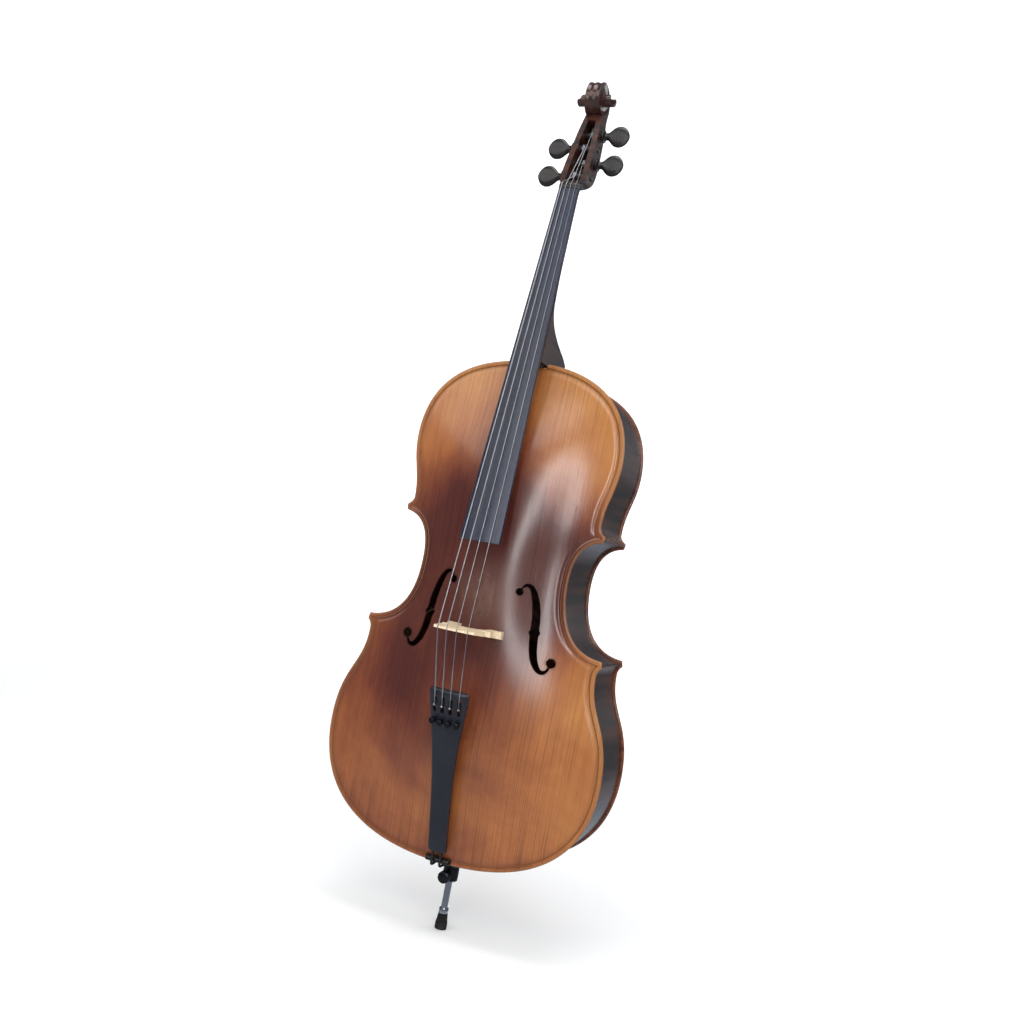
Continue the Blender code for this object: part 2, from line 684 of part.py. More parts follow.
def soundpost():
    """Round post between the plates, just below the bridge's treble foot."""
    radius, clear = 5.5, 0.4
    spots = [(24.0 + radius * c, STOP - 10.0 + radius * s) for c, s in unit_circle(16)]
    front = [(x, surface_y(TOP_IN, x, z, -GLUE_Y) + clear, z) for x, z in spots]
    back = [(x, surface_y(BACK_IN, x, z, GLUE_Y) - clear, z) for x, z in spots]
    make("soundpost", loft([front, back]), SPRUCE)


bass_bar()
soundpost()

# ---------------------------------------------------------------- fingerboard and nut
BOARD_END = 473.0                      # lower end of the fingerboard
BOARD_Y, BOARD_SLOPE = -98.5, 0.165    # its top face at z = BODY, and its slope
BOARD_R = 62.0                         # radius across its top face
BOARD_HALF_NUT, BOARD_HALF_END = 15.6, 31.2
BOARD_EDGE = 6.8                       # thickness at its edges
NUT_LIFT = 1.3                         # nut above the fingerboard at its highest


def board_half(z):
    widening = BOARD_HALF_END - BOARD_HALF_NUT
    return BOARD_HALF_NUT + widening * (NUT_Z - z) / (NUT_Z - BOARD_END)


def board_top(x, z):
    return BOARD_Y - BOARD_SLOPE * (BODY - z) + sag(x, BOARD_R)


def board_bottom(z):
    return board_top(board_half(z), z) + BOARD_EDGE


def fingerboard():
    """Board hollowed underneath where it stands free of the neck."""
    rings = []
    for z in (BOARD_END, 520, 580, 640, 700, 758, 763, 830, 930, NUT_Z - GAP):
        half = board_half(z)
        hollow = 8.0 if z < 760 else 0.0
        base = board_bottom(z)
        inner = half - 4.5
        ring = [(x, board_top(x, z), z) for x in np.linspace(-half, half, 11)]
        ring += [(half - 0.8, base, z)]
        ring += [(x, base - hollow * (1 - (x / inner) ** 2), z)
                 for x in np.linspace(inner, -inner, 7)]
        ring += [(-half + 0.8, base, z)]
        rings.append(ring)
    make("fingerboard", loft(rings), EBONY)


def nut():
    half = board_half(NUT_Z)
    rings = []
    for z, lift in ((NUT_Z, 1.0), (NUT_Z + 6, NUT_LIFT), (NUT_END, -2.0)):
        # The nut keeps its width upwards, while board_bottom() still follows the taper.
        base = board_bottom(z)
        top = [(x, board_top(x, z) - lift, z) for x in np.linspace(-half, half, 9)]
        rings.append(top + [(half, base, z), (-half, base, z)])
    make("nut", loft(rings), EBONY)


fingerboard()
nut()

# ---------------------------------------------------------------- neck, pegbox and scroll
# z, depth front to back, half width at the front, half width at the back.
# A depth of 0 runs back to the rear edge of the ribs.
NECK = [
    (TENON_Z, 0, TENON_W, TENON_W), (751.0, 0, TENON_W, TENON_W),
    (751.3, 0, 23.4, 16.0), (760.0, 0, 23.2, 15.8), (776.8, 0, 22.9, 14.8),
    (784.0, 131, 22.6, 13.8), (792.0, 112, 22.3, 13.0), (802.0, 88, 22.0, 12.5),
    (814.0, 64, 21.7, 12.5), (828.0, 45, 21.4, 13.0), (848.0, 31.5, 20.8, 13.0),
    (880.0, 25.5, 19.9, 12.0), (940.0, 23.0, 18.2, 10.5), (1000.0, 21.5, 16.6, 9.5),
    (1029.0, 21.5, 15.8, 9.5), (1041.0, 27.0, 15.9, 11.0),
]
BOX = [
    (1041.5, 30.0, 18.0, 15.0), (1048.0, 38.0, 20.6, 19.0), (1058.0, 43.5, 21.2, 20.2),
    (1072.0, 44.5, 20.8, 20.0), (1100.0, 42.0, 19.4, 18.6), (1130.0, 37.5, 17.6, 17.0),
    (1150.0, 34.0, 16.0, 15.4), (1166.0, 32.4, 14.0, 13.2), (1176.0, 30.9, 12.6, 12.2),
    (1184.0, 29.1, 12.0, 12.0), (1190.0, 27.1, 11.9, 11.9),
]
# Squareness of the sections (2 is an ellipse): heights, then values.
NECK_POWER = ([752, 777, 830, 900, 1041], [7.0, 6.0, 3.2, 2.4, 2.6])
BOX_POWER = ([1041, 1056, 1150, 1176, 1190], [3.0, 5.5, 6.5, 14.0, 18.0])

SCROLL_Y, SCROLL_Z, SCROLL_R = 0.0, 1192.0, 33.0
SCROLL_START = math.radians(-10)
SCROLL_PER_TURN = 18
SCROLL_STEPS = 5 * SCROLL_PER_TURN // 2   # two and a half turns
# Half width of the spiral: half turns from the start, then values.
SCROLL_WIDTH = ([0, 0.5, 1.0, 1.5, 2.0, 3.0, 4.0, 5.0],
                [12.0, 11.0, 11.4, 13.4, 17.0, 25.0, 30.4, 31.6])

# Cavity sections: z, how far its floor is raised there.
CAVITY = ((1046.0, 12.0), (1056.0, 0.0), (1080.0, 0.0), (1110.0, 0.0), (1140.0, 0.0),
          (1160.0, 7.0))

# Peg's collar and head: distance beyond the box wall, half size in Y, half size in Z.
PEG_HEAD = [
    (3.0, 9.6, 9.6), (5.8, 9.9, 9.9), (6.8, 7.0, 7.0), (8.6, 5.6, 5.6), (13.0, 5.2, 6.2),
    (18.0, 5.2, 11.5), (25.0, 5.0, 16.4), (32.0, 4.8, 17.0), (39.0, 4.4, 14.0),
    (44.0, 3.4, 8.6), (46.0, 2.0, 3.6),
]


def box_column(z, column):
    return float(np.interp(z, [row[0] for row in BOX], [row[column] for row in BOX]))


def box_front(z):
    return -44.0 + 0.33 * (z - 1041.0)


def box_depth(z):
    return box_column(z, 1)


def box_half(z):
    return box_column(z, 2)


def neck_section(z, front, back, half_front, half_back, power):
    """Closed section at one height: flat front, sides running to a rounded back."""
    ring = []
    count = 12
    for j in range(count + 1):
        angle = -0.5 * math.pi + math.pi * j / count
        sine, cosine = math.sin(angle), math.cos(angle)
        deep = abs(cosine) ** (2 / power)
        across = math.copysign(abs(sine) ** (2 / power), sine)
        half = half_front + (half_back - half_front) * deep
        ring.append((across * half, front + (back - front) * deep, z))
    return ring


def neck():
    """Heel, neck and pegbox as one skin, up to the start of the scroll."""
    rings = []
    for z, depth, half_front, half_back in NECK:
        front = board_bottom(z) + GAP
        back = RIB_Y if depth == 0 else front + depth
        power = 9.0 if z < 752 else float(np.interp(z, *NECK_POWER))
        rings.append(neck_section(z, front, back, half_front, half_back, power))
    for z, depth, half_front, half_back in BOX:
        front = box_front(z)
        if z > 1180:
            front += (z - 1180) * 0.3
        back = min(front + depth, 32.3)
        power = float(np.interp(z, *BOX_POWER))
        rings.append(neck_section(z, front, back, half_front, half_back, power))
    return loft(rings)


def scroll_radius(turned):
    """Radius of the spiral after turning by an angle: one law in the first turn, then another."""
    first = min(turned, 2 * math.pi)
    radius = SCROLL_R * math.exp(-0.0112 * first - 0.0182 * first * first)
    return radius * math.exp(-0.14 * (turned - first))


def scroll_half(turned):
    return float(np.interp(turned / math.pi, *SCROLL_WIDTH))


def scroll():
    """Spiral with stepped sides: each turn stands further out than the one around it."""
    turn, total = SCROLL_PER_TURN, SCROLL_STEPS
    step = 2 * math.pi / turn
    verts, faces = [], []
    rim, root = {}, {}   # outer edge of a turn; foot of the next turn's wall on its side

    def put(turned, radius, x):
        angle = SCROLL_START + turned
        verts.append((x, SCROLL_Y + radius * math.cos(angle),
                      SCROLL_Z + radius * math.sin(angle)))
        return len(verts) - 1

    for s in (-1, 1):
        for i in range(total + 1):
            rim[s, i] = put(i * step, scroll_radius(i * step), s * scroll_half(i * step))
        for i in range(total - turn + 1):
            turned = (i + turn) * step
            root[s, i] = put(turned, scroll_radius(turned), s * scroll_half(i * step))
        centre = put(0, 0, s * (scroll_half(total * step) + 1.5))
        for i in range(total - turn):
            faces.append((rim[s, i], rim[s, i + 1], root[s, i + 1], root[s, i]))
            faces.append((root[s, i], root[s, i + 1], rim[s, i + 1 + turn], rim[s, i + turn]))
        for i in range(total - turn, total):
            faces.append((rim[s, i], rim[s, i + 1], centre))
        last = total - turn
        faces.append((rim[s, last], root[s, last], centre))
        faces.append((root[s, last], rim[s, total], centre))
    for i in range(turn - 1):
        faces.append((rim[-1, i], rim[-1, i + 1], rim[1, i + 1], rim[1, i]))
    faces.append((rim[-1, turn - 1], rim[-1, turn], root[-1, 0],
                  root[1, 0], rim[1, turn], rim[1, turn - 1]))
    faces.append((rim[-1, 0], root[-1, 0], root[1, 0], rim[1, 0]))
    return verts, faces


def cavity():
    """Inside of the pegbox, open to the front."""
    rings = []
    for z, raised in CAVITY:
        half = box_half(z) - 8.6
        mouth = box_front(z) - 12.0
        floor = box_front(z) + box_depth(z) - 9.0 - raised
        rings.append([(-half, mouth, z), (half, mouth, z), (half, floor, z), (-half, floor, z)])
    return loft(rings)


def peg_axis(z):
    return box_front(z) + 0.46 * box_depth(z)


def peg_radius(out, z):
    """Radius of a peg's tapered shaft at a distance from X = 0 towards its head."""
    return 6.3 + 0.9 * out / box_half(z)


def peg(key, side, z):
    """Peg and its hole through the pegbox."""
    y, half = peg_axis(z), box_half(z)
    hole = []
    for out in (-half - 4, half + 4):
        radius = peg_radius(out, z) + GAP
        hole.append(x_ring(side * out, y, z, radius, radius, 20))
    boolean(NECK_OBJ, make_helper(f"peg_hole_{key}", loft(hole)))
    stations = [(-half - 2.0, 5.0, 5.0), (-half - 1.4, 5.35, 5.35)]
    stations += [(out, peg_radius(out, z), peg_radius(out, z)) for out in (0.0, half + 2.5)]
    stations += [(half + beyond, half_y, half_z) for beyond, half_y, half_z in PEG_HEAD]
    rings = [x_ring(side * out, y, z, half_y, half_z, 12) for out, half_y, half_z in stations]
    make(f"peg_{key}", loft(rings), GLOSSY_EBONY, origin=(0, y, z))


SCROLL_OBJ = make_helper("scroll_union", scroll())
NECK_OBJ = make("neck_scroll", neck(), DARKWOOD, angle=40)
boolean(NECK_OBJ, SCROLL_OBJ, "UNION")
boolean(NECK_OBJ, make_helper("cavity_cutter", cavity()))
for key, (side, z) in PEGS.items():
    peg(key, side, z)

# ---------------------------------------------------------------- bridge
BRIDGE_BASE = -(EDGE_Y + ARCH_TOP * float(arch_height(0, STOP)))   # top plate on the centre line
BRIDGE_TOP = BRIDGE_BASE - BRIDGE_H
FOOT_CLEAR = 0.35

# Right half of the outline; pairs are x, height above BRIDGE_BASE.
BRIDGE_FOOT_X = (23.5, 29.0, 36.0, 43.0)
BRIDGE_SIDE = [
    (43.6, 6.5), (40.0, 9.0), (36.0, 14.0), (34.6, 22.0), (35.4, 29.0), (38.6, 34.0),
    (36.0, 37.0), (30.0, 36.5), (25.6, 38.5), (23.6, 42.5), (24.6, 47.0), (28.6, 49.6),
    (33.0, 49.4), (35.4, 53.0), (34.0, 60.0), (32.2, 68.0),
]
BRIDGE_TOP_X = (31.6, 26.0, 20.0, 13.0, 6.5, 0.0)
BRIDGE_ARCH = [(23.0, 7.0), (22.0, 15.0), (18.5, 24.0), (12.0, 31.0), (5.0, 34.0)]
BRIDGE_ARCH_CROWN = 34.6
# Inner points of the faces, used on both sides of the centre line.
BRIDGE_INNER = [(0, 42), (11, 42), (16, 56), (0, 72), (14, 70), (26, 62), (29, 20), (33, 5),
                (26, 30)]


def bridge_top(x):
    return BRIDGE_TOP + sag(x, 66.0)


def foot_y(x, z=STOP):
    return surface_y(TOP_OUT, x, z, BRIDGE_BASE)


def bridge_outline():
    half = [(x, foot_y(x) - FOOT_CLEAR) for x in BRIDGE_FOOT_X]
    half += [(x, BRIDGE_BASE - tall) for x, tall in BRIDGE_SIDE]
    half += [(x, bridge_top(x)) for x in BRIDGE_TOP_X]
    left = [(-x, y) for x, y in reversed(half) if x > 0]
    arch = [(x, BRIDGE_BASE - tall) for x, tall in BRIDGE_ARCH]
    crown = [(0.0, BRIDGE_BASE - BRIDGE_ARCH_CROWN)]
    return np.array(half + left + [(-x, y) for x, y in arch] + crown + arch[::-1])


def bridge_heart():
    """Heart-shaped hole."""
    heart = []
    for k in range(16):
        angle = 2 * math.pi * k / 16
        tall = 7.6 * math.cos(angle) - 2.6 * math.cos(2 * angle) - 1.2 * math.cos(3 * angle)
        heart.append((8.6 * math.sin(angle) ** 3, BRIDGE_BASE - 54.0 - tall))
    return np.array(heart)


def bridge():
    """Board thinning towards the strings, its feet fitted to the top plate."""
    inner = [(x, BRIDGE_BASE - tall)
             for right, tall in BRIDGE_INNER
             for x in ((right, -right) if right else (0,))]
    flat, tris = triangulate([bridge_outline(), bridge_heart()], inner)
    verts = []
    for s in (-1, 1):
        for x, y in flat:
            tall = BRIDGE_BASE - y
            part = min(max(tall / BRIDGE_H, 0), 1)
            z = STOP + s * (5.6 - 4.1 * part ** 0.8)
            if part < 0.03 or (abs(x) > 22 and tall < 3 - abs(foot_y(x) - BRIDGE_BASE)):
                y = min(y, foot_y(x, z) - FOOT_CLEAR)
            verts.append((x, y, z))
    make("bridge", (verts, slab_faces(tris, len(flat))), MAPLE)


bridge()

# ---------------------------------------------------------------- tailpiece, four fine tuners
TAIL_Z0, TAIL_Z1 = 17.0, 256.0
TAIL_Y0, TAIL_Y1 = -76.0, -146.5     # top face on the centre line at both ends
TAIL_THICK = 11.0
TAIL_R = 82.0                        # radius across the top face
TAIL_TILT = (TAIL_Y1 - TAIL_Y0) / (TAIL_Z1 - TAIL_Z0)
TAIL_DIR = Vector((0, TAIL_TILT, 1)).normalized()
TAIL_OUT = Vector((0, -1, TAIL_TILT)).normalized()   # away from the body, square to the top face
SLOT_Z0, SLOT_Z1 = 224.0, 249.0
AXLE_Z, AXLE_DEPTH, AXLE_BORE = 238.0, 6.8, 1.5
SCREW_Z = 213.0
GUT_X, GUT_DEPTH = 6.5, 4.4          # the tailgut's two holes
LEVER_HALF = 2.4
# Half width of the tailpiece: heights, then values.
TAIL_HALF = ([TAIL_Z0, 22, 60, 100, 140, 180, 215, 238, 252, TAIL_Z1],
             [12.0, 14.0, 14.4, 15.4, 17.0, 20.6, 25.6, 29.0, 30.2, 29.0])
TAIL_LOW = ([TAIL_Z0, 22, 200], [8.2, 9.2, TAIL_THICK])   # thickness, the same way


def tail_point(x, z, depth):
    """Point under the centre line's top face by depth, measured square to the tailpiece."""
    return Vector((x, TAIL_Y0 + TAIL_TILT * (z - TAIL_Z0), z)) - TAIL_OUT * depth


def tail_box(x, half, z0, z1, depth0, depth1):
    """Box aligned with the tailpiece."""
    corners = ((-half, z0), (half, z0), (half, z1), (-half, z1))
    return loft([[tail_point(x + dx, z, depth) for dx, z in corners]
                 for depth in (depth0, depth1)])


def tailpiece():
    """Tailpiece with its two gut holes and the bore of the tuner axle."""
    rings = []
    for z in (TAIL_Z0, 22, 45, 80, 115, 150, 180, 205, 225, 242, 252, TAIL_Z1):
        half = float(np.interp(z, *TAIL_HALF))
        low = float(np.interp(z, *TAIL_LOW))
        ring = [tail_point(x, z, sag(x, TAIL_R)) for x in np.linspace(-half, half, 9)]
        ring += [tail_point(x, z, depth) for x, depth in (
            (half, low - 1.5), (half - 2.5, low), (-half + 2.5, low), (-half, low - 1.5))]
        rings.append(ring)
    tail = make("tailpiece", loft(rings), MATT_EBONY)
    for s in (-1, 1):
        start = tail_point(GUT_X * s, 12.0, GUT_DEPTH)
        hole = cylinder(2.3, 0.0, 30.5, start, TAIL_DIR, 14)
        boolean(tail, make_helper(f"gut_hole_{s + 1}", hole))
    axle_at = tail_point(0, AXLE_Z, AXLE_DEPTH)
    bore = cylinder(AXLE_BORE, -24.0, 40.0, axle_at, RIGHT, 12)
    boolean(tail, make_helper("axle_cutter", bore))
    make("tuner_axle", cylinder(1.2, -23.6, 25.5, axle_at, RIGHT, 12), STEEL)
    return tail


def lever_profile(drop):
    """Side view as (z, depth): fork above, axle in the middle, arm below reaching the screw."""
    arm = TAIL_THICK + 5.6
    return [
        (233.5, AXLE_DEPTH + 2.6), (233.5, AXLE_DEPTH - 2.5), (236.2, 1.0 + drop),
        (237.2, drop - 3.4), (240.2, drop - 3.4), (241.2, drop + 1.0),
        (242.0, AXLE_DEPTH - 2.0), (242.0, AXLE_DEPTH + 3.5), (238.0, TAIL_THICK + 4.6),
        (226.0, arm), (208.0, arm), (208.0, TAIL_THICK + 2.6), (225.0, TAIL_THICK + 2.6),
        (231.0, TAIL_THICK + 0.5),
    ]


def tuner(key, tail):
    """Slot in the tailpiece, lever and screw of one string."""
    x = STRING_PLACE[key] * TAIL_SPACING
    drop = sag(x, TAIL_R)
    slot = tail_box(x, 2.8, SLOT_Z0, SLOT_Z1, -8, 20)
    boolean(tail, make_helper(f"slot_cutter_{key}", slot))

    axle_at = tail_point(x, AXLE_Z, AXLE_DEPTH)
    rings = [[tail_point(x + s * LEVER_HALF, z, depth) for z, depth in lever_profile(drop)]
             for s in (-1, 1)]
    lever = make(f"tuner_lever_{key}", loft(rings), EBONY, origin=axle_at)
    bore = cylinder(AXLE_BORE, -6.0, 6.0, axle_at, RIGHT, 12)
    boolean(lever, make_helper(f"lever_bore_{key}", bore))
    fork = tail_box(x, 1.2, 230, 246, drop - 6, drop - 0.4)
    boolean(lever, make_helper(f"fork_cutter_{key}", fork))

    seat = tail_point(x, SCREW_Z, drop)
    hole = cylinder(1.9, -22.0, 8.0, seat, TAIL_OUT, 12)
    boolean(tail, make_helper(f"screw_cutter_{key}", hole))
    profile = [(1.5, -(TAIL_THICK - drop + 2.0)), (1.5, 1.0), (3.2, 1.2), (3.2, 3.2),
               (4.6, 3.8), (4.6, 8.6), (3.6, 9.4)]
    make(f"tuner_screw_{key}", lathe(profile, seat, TAIL_OUT, 14), SCREW_STEEL, origin=seat)


TAIL_OBJ = tailpiece()
for key in STRING_PLACE:
    tuner(key, TAIL_OBJ)

# ---------------------------------------------------------------- strings
COIL_TURNS, COIL_PER_TURN = 2.25, 8
# Ball at the string's lower end: distance beyond the fork, radius.
STRING_BALL = ((1.0, 1.5), (1.9, 2.0), (2.9, 2.0), (3.8, 1.2))


def string(key):
    """String from its coil on the peg, over nut and bridge, to its ball at the tuner."""
    radius, place = STRING_R[key], STRING_PLACE[key]
    side, peg_z = PEGS[key]
    peg_y = peg_axis(peg_z)
    # Widened so that the flats of the coil's polygon clear the peg.
    coil = (peg_radius(3.0, peg_z) + 0.4 + radius) / math.cos(math.pi / COIL_PER_TURN)
    steps = int(COIL_TURNS * COIL_PER_TURN)
    path = []
    # The coil's last point is at the front of the peg, heading down towards the nut.
    for i in range(steps + 1):
        angle = -2 * math.pi * COIL_TURNS + 2 * math.pi * COIL_TURNS * i / steps
        x = 2.6 * side + side * (2 * radius + 0.5) * COIL_TURNS * (1 - i / steps)
        path.append((x, peg_y - coil * math.cos(angle), peg_z - coil * math.sin(angle)))

    x = place * NUT_SPACING
    lift = NUT_LIFT + radius + GAP
    path.append((x, board_top(x, NUT_END) + 1.0 - radius, NUT_END + 0.6))
    path.append((x, board_top(x, NUT_Z + 6) - lift, NUT_Z + 6))
    path.append((x, board_top(x, NUT_Z) - lift, NUT_Z - 0.5))

    x = place * BRIDGE_SPACING
    y = bridge_top(x) - radius - GAP
    path += [(x, y, STOP + 2.2), (x, y, STOP - 2.2)]
    radii = [radius] * len(path)

    x = place * TAIL_SPACING
    depth = sag(x, TAIL_R) - 2.4
    thin = min(radius, 0.8)
    fork_end = tail_point(x, 236.6, depth)
    path += [tail_point(x, 243.0, depth), fork_end]
    radii += [thin] * 2
    for beyond, ball_radius in ((0.8, thin), *STRING_BALL):
        path.append(fork_end - TAIL_DIR * beyond)
        radii.append(ball_radius)
    make(f"string_{key}", tube(path, radii), STEEL, angle=80)


for key in STRING_R:
    string(key)

# ---------------------------------------------------------------- saddle and tailgut
SADDLE_Y = -68.5
TAILGUT_R = 1.9


def saddle():
    # x, y of the front face there
    stations = ((-SADDLE_HALF, -62.0), (-18.5, -65.5), (-12.0, SADDLE_Y), (0.0, SADDLE_Y),
                (12.0, SADDLE_Y), (18.5, -65.5), (SADDLE_HALF, -62.0))
    rings = [[(x, -GLUE_Y, 0.6), (x, y + 1.5, 0.6), (x, y, 2.4), (x, y, 5.0),
              (x, y + 2.5, SADDLE_TOP), (x, -GLUE_Y, SADDLE_TOP)] for x, y in stations]
    make("saddle", loft(rings), EBONY)


def tailgut():
    """Cord from the tailpiece over the saddle, round the endpin plug and back."""
    over_y = SADDLE_Y - TAILGUT_R - GAP
    right = [
        tail_point(GUT_X, 40.0, GUT_DEPTH), tail_point(GUT_X, 15.5, GUT_DEPTH),
        (GUT_X, over_y, 5.2), (6.6, over_y + 0.1, 1.6), (6.7, -69.0, -1.6),
        (6.8, -65.0, -3.0), (7.2, -58.0, -2.8), (9.5, -30.0, -2.6), (13.0, -11.0, -2.6),
    ]
    for k in range(7):
        angle = math.radians(-35 + 125 * k / 6)
        right.append((15.4 * math.cos(angle), 15.4 * math.sin(angle), -2.8))
    path = right + [(-x, y, z) for x, y, z in reversed(right[:-1])]
    make("tailgut", tube(path, [TAILGUT_R] * len(path)), GUT)


saddle()
tailgut()

# ---------------------------------------------------------------- endpin
BORE_R, ROD_R = 5.3, 5.0
ROD_TOP = 372.0
SCREW_AT = (0, 0, -29.0)   # where the thumbscrew's axis meets the rod's
AXIS = ((0, 0, 0), UP)     # the endpin's own axis


def sleeve(outer, count=18):
    """Round sleeve on the endpin axis, bored to BORE_R; outer is (radius, z) pairs."""
    loop = outer + [(BORE_R, outer[-1][1]), (BORE_R, outer[0][1])]
    size = len(loop)
    verts = [(r * c, r * s, z) for c, s in unit_circle(count) for r, z in loop]
    faces = []
    for j in range(count):
        k = (j + 1) % count
        for i in range(size):
            l = (i + 1) % size
            faces.append((j * size + i, j * size + l, k * size + l, k * size + i))
    return verts, faces


def endpin_plug():
    outer = [(12.3, 32.0), (12.9, 3.0), (13.0, -4.9), (16.6, -5.1), (17.2, -8.0),
             (15.4, -13.0), (12.6, -16.0)]
    make("endpin_plug", sleeve(outer), GLOSSY_EBONY)


def endpin_collar():
    outer = [(11.2, -16.3), (12.0, -17.0), (12.0, -36.4), (11.0, -38.0)]
    collar = make("endpin_collar", sleeve(outer), COLLAR_METAL)
    bore = cylinder(3.4, 1.0, 16.0, SCREW_AT, FRONT, 14)
    boolean(collar, make_helper("screw_bore", bore))


def endpin_thumbscrew():
    profile = [(3.0, ROD_R + 0.35), (3.0, 15.0), (5.0, 15.4), (5.0, 19.0), (8.6, 19.6),
               (9.2, 21.0), (9.2, 27.5), (8.2, 29.0), (4.0, 29.8)]
    make("endpin_thumbscrew", lathe(profile, SCREW_AT, FRONT), KNOB_METAL, origin=SCREW_AT)


def endpin_rod():
    profile = [(2.5, -102.0), (ROD_R, -101.0), (ROD_R, ROD_TOP - 1.0), (ROD_R - 1.0, ROD_TOP)]
    make("endpin_rod", lathe(profile, *AXIS), ROD_STEEL)


def endpin_ferrule():
    outer = [(6.4, -88.2), (7.2, -87.6), (7.2, -81.0), (6.4, -80.2)]
    make("endpin_ferrule", sleeve(outer), CHROME)


def endpin_tip():
    """Rubber tip with a blind bore for the rod."""
    profile = [(8.4, -TIP), (9.2, -TIP + 1.0), (9.2, -TIP + 9.0), (8.0, -TIP + 14.0),
               (7.4, -88.6), (BORE_R, -88.6), (BORE_R, -103.0)]
    make("endpin_tip", lathe(profile, *AXIS), RUBBER)


endpin_plug()
endpin_collar()
endpin_thumbscrew()
endpin_rod()
endpin_ferrule()
endpin_tip()
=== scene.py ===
"""Looks of a full-size cello standing on its endpin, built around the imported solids.

Lengths are millimetres until mesh_object makes them metres. z runs up the cello from the lower
end of the body, with the floor FLOOR_DROP below it. The strings are on the -y side, the back on
the +y side, and x is 0 on the centre line; "R" pieces are at +x. Lights, camera and shader
coordinates are metres from the floor.
"""

import math

import bmesh
import bpy
import numpy as np
from mathutils import Matrix, Vector
from mathutils.bvhtree import BVHTree
from mathutils.geometry import delaunay_2d_cdt

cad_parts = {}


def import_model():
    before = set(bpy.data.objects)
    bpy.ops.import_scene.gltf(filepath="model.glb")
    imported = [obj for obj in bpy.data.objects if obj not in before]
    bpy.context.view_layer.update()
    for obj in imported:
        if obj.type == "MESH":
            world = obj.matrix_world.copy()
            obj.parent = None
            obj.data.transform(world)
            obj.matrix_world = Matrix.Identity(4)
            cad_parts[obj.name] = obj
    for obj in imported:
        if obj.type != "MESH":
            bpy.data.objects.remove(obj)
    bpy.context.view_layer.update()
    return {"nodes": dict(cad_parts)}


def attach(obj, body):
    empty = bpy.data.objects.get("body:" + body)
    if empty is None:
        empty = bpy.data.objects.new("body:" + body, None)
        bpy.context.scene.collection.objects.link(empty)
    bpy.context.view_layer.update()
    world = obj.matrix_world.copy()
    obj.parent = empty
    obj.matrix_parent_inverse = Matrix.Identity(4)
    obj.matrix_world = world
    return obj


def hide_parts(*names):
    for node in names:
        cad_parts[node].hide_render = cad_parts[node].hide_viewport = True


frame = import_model()

# ---- driving dimensions, shared with the solids ----
FLOOR_DROP = 112.0
BODY = 755.0                              # height of the body
LOWER_W, LOWER_Z = 219.5, 167.0           # half widths of the bouts and their heights
UPPER_W, UPPER_Z = 166.0, 621.0
WAIST_W, WAIST_Z = 118.0, 436.0
CORNER_L, CORNER_U = (190.5, 332.0), (161.0, 508.0)
TURN_L, TURN_U = (184.0, 313.0), (151.5, 525.0)     # where the bouts turn out to the corners
CORNER_H_L, CORNER_H_U = 9.0, 8.5         # heights of the blunt corner ends
EDGE_Y, GLUE_Y, RIB_Y = 61.5, 57.0, 56.7  # outer and inner faces of the plate edges, rib edges
OVERHANG, RIB_T = 4.0, 1.5
ARCH_TOP, ARCH_BACK = 27.0, 25.0
EDGE_ROUND = 2.1
GAP = 0.3
STOP, BRIDGE_H = 345.0, 87.0              # height of the bridge's place, and how far it stands out
NUT_Z, NUT_END, FB_END = 1030.0, 1040.0, 473.0
FB_Y0, FB_SLOPE = -98.5, 0.165            # fingerboard face at the body's upper end, and its slope
BOARD_R, BRIDGE_R, TAIL_R = 62.0, 66.0, 82.0        # radii of the crowned faces
BUTTON_Z, BUTTON_W = 777.0, 16.0
STRING_R = {"c": 0.85, "g": 0.65, "d": 0.5, "a": 0.42}
STRING_PLACE = {"c": -1.5, "g": -0.5, "d": 0.5, "a": 1.5}     # in string gaps from the centre
WINDING_PITCH = {"c": 0.62, "g": 0.52, "d": 0.42, "a": 0.36}
SILK = {"c": (120, 122, 130), "g": (128, 130, 138), "d": (132, 134, 142), "a": (136, 138, 146)}
NUT_GAP, BRIDGE_GAP, TAIL_GAP = 7.5, 15.2, 12.6
PEGS = {"c": (-1, 1061.0), "a": (1, 1085.0), "g": (-1, 1113.0), "d": (1, 1138.0)}  # side, z
SCROLL_Y, SCROLL_Z, SCROLL_R = 0.0, 1192.0, 33.0
SCROLL_A0 = math.radians(-10)
BORE_R, ROD_R, ROD_TOP = 5.3, 5.0, 372.0
TAIL_Z0, TAIL_Z1, TAIL_Y0, TAIL_Y1, TAIL_THICK = 17.0, 256.0, -76.0, -146.5, 11.0
TAIL_TILT = (TAIL_Y1 - TAIL_Y0) / (TAIL_Z1 - TAIL_Z0)
SLOT_Z0, SLOT_Z1, AXLE_Z, SCREW_Z = 224.0, 249.0, 238.0, 213.0
AXLE_DEPTH, GUT_DEPTH = 6.8, 4.4
TAIL_DIR = Vector((0, TAIL_TILT, 1)).normalized()
TAIL_OUT = Vector((0, -1, TAIL_TILT)).normalized()
SADDLE_Y = -68.5
THUMB_Z = -29.0


# ================================================================ mesh helpers
def shade(mesh, angle):
    mesh.polygons.foreach_set("use_smooth", [True] * len(mesh.polygons))
    mesh.set_sharp_from_angle(angle=math.radians(angle))


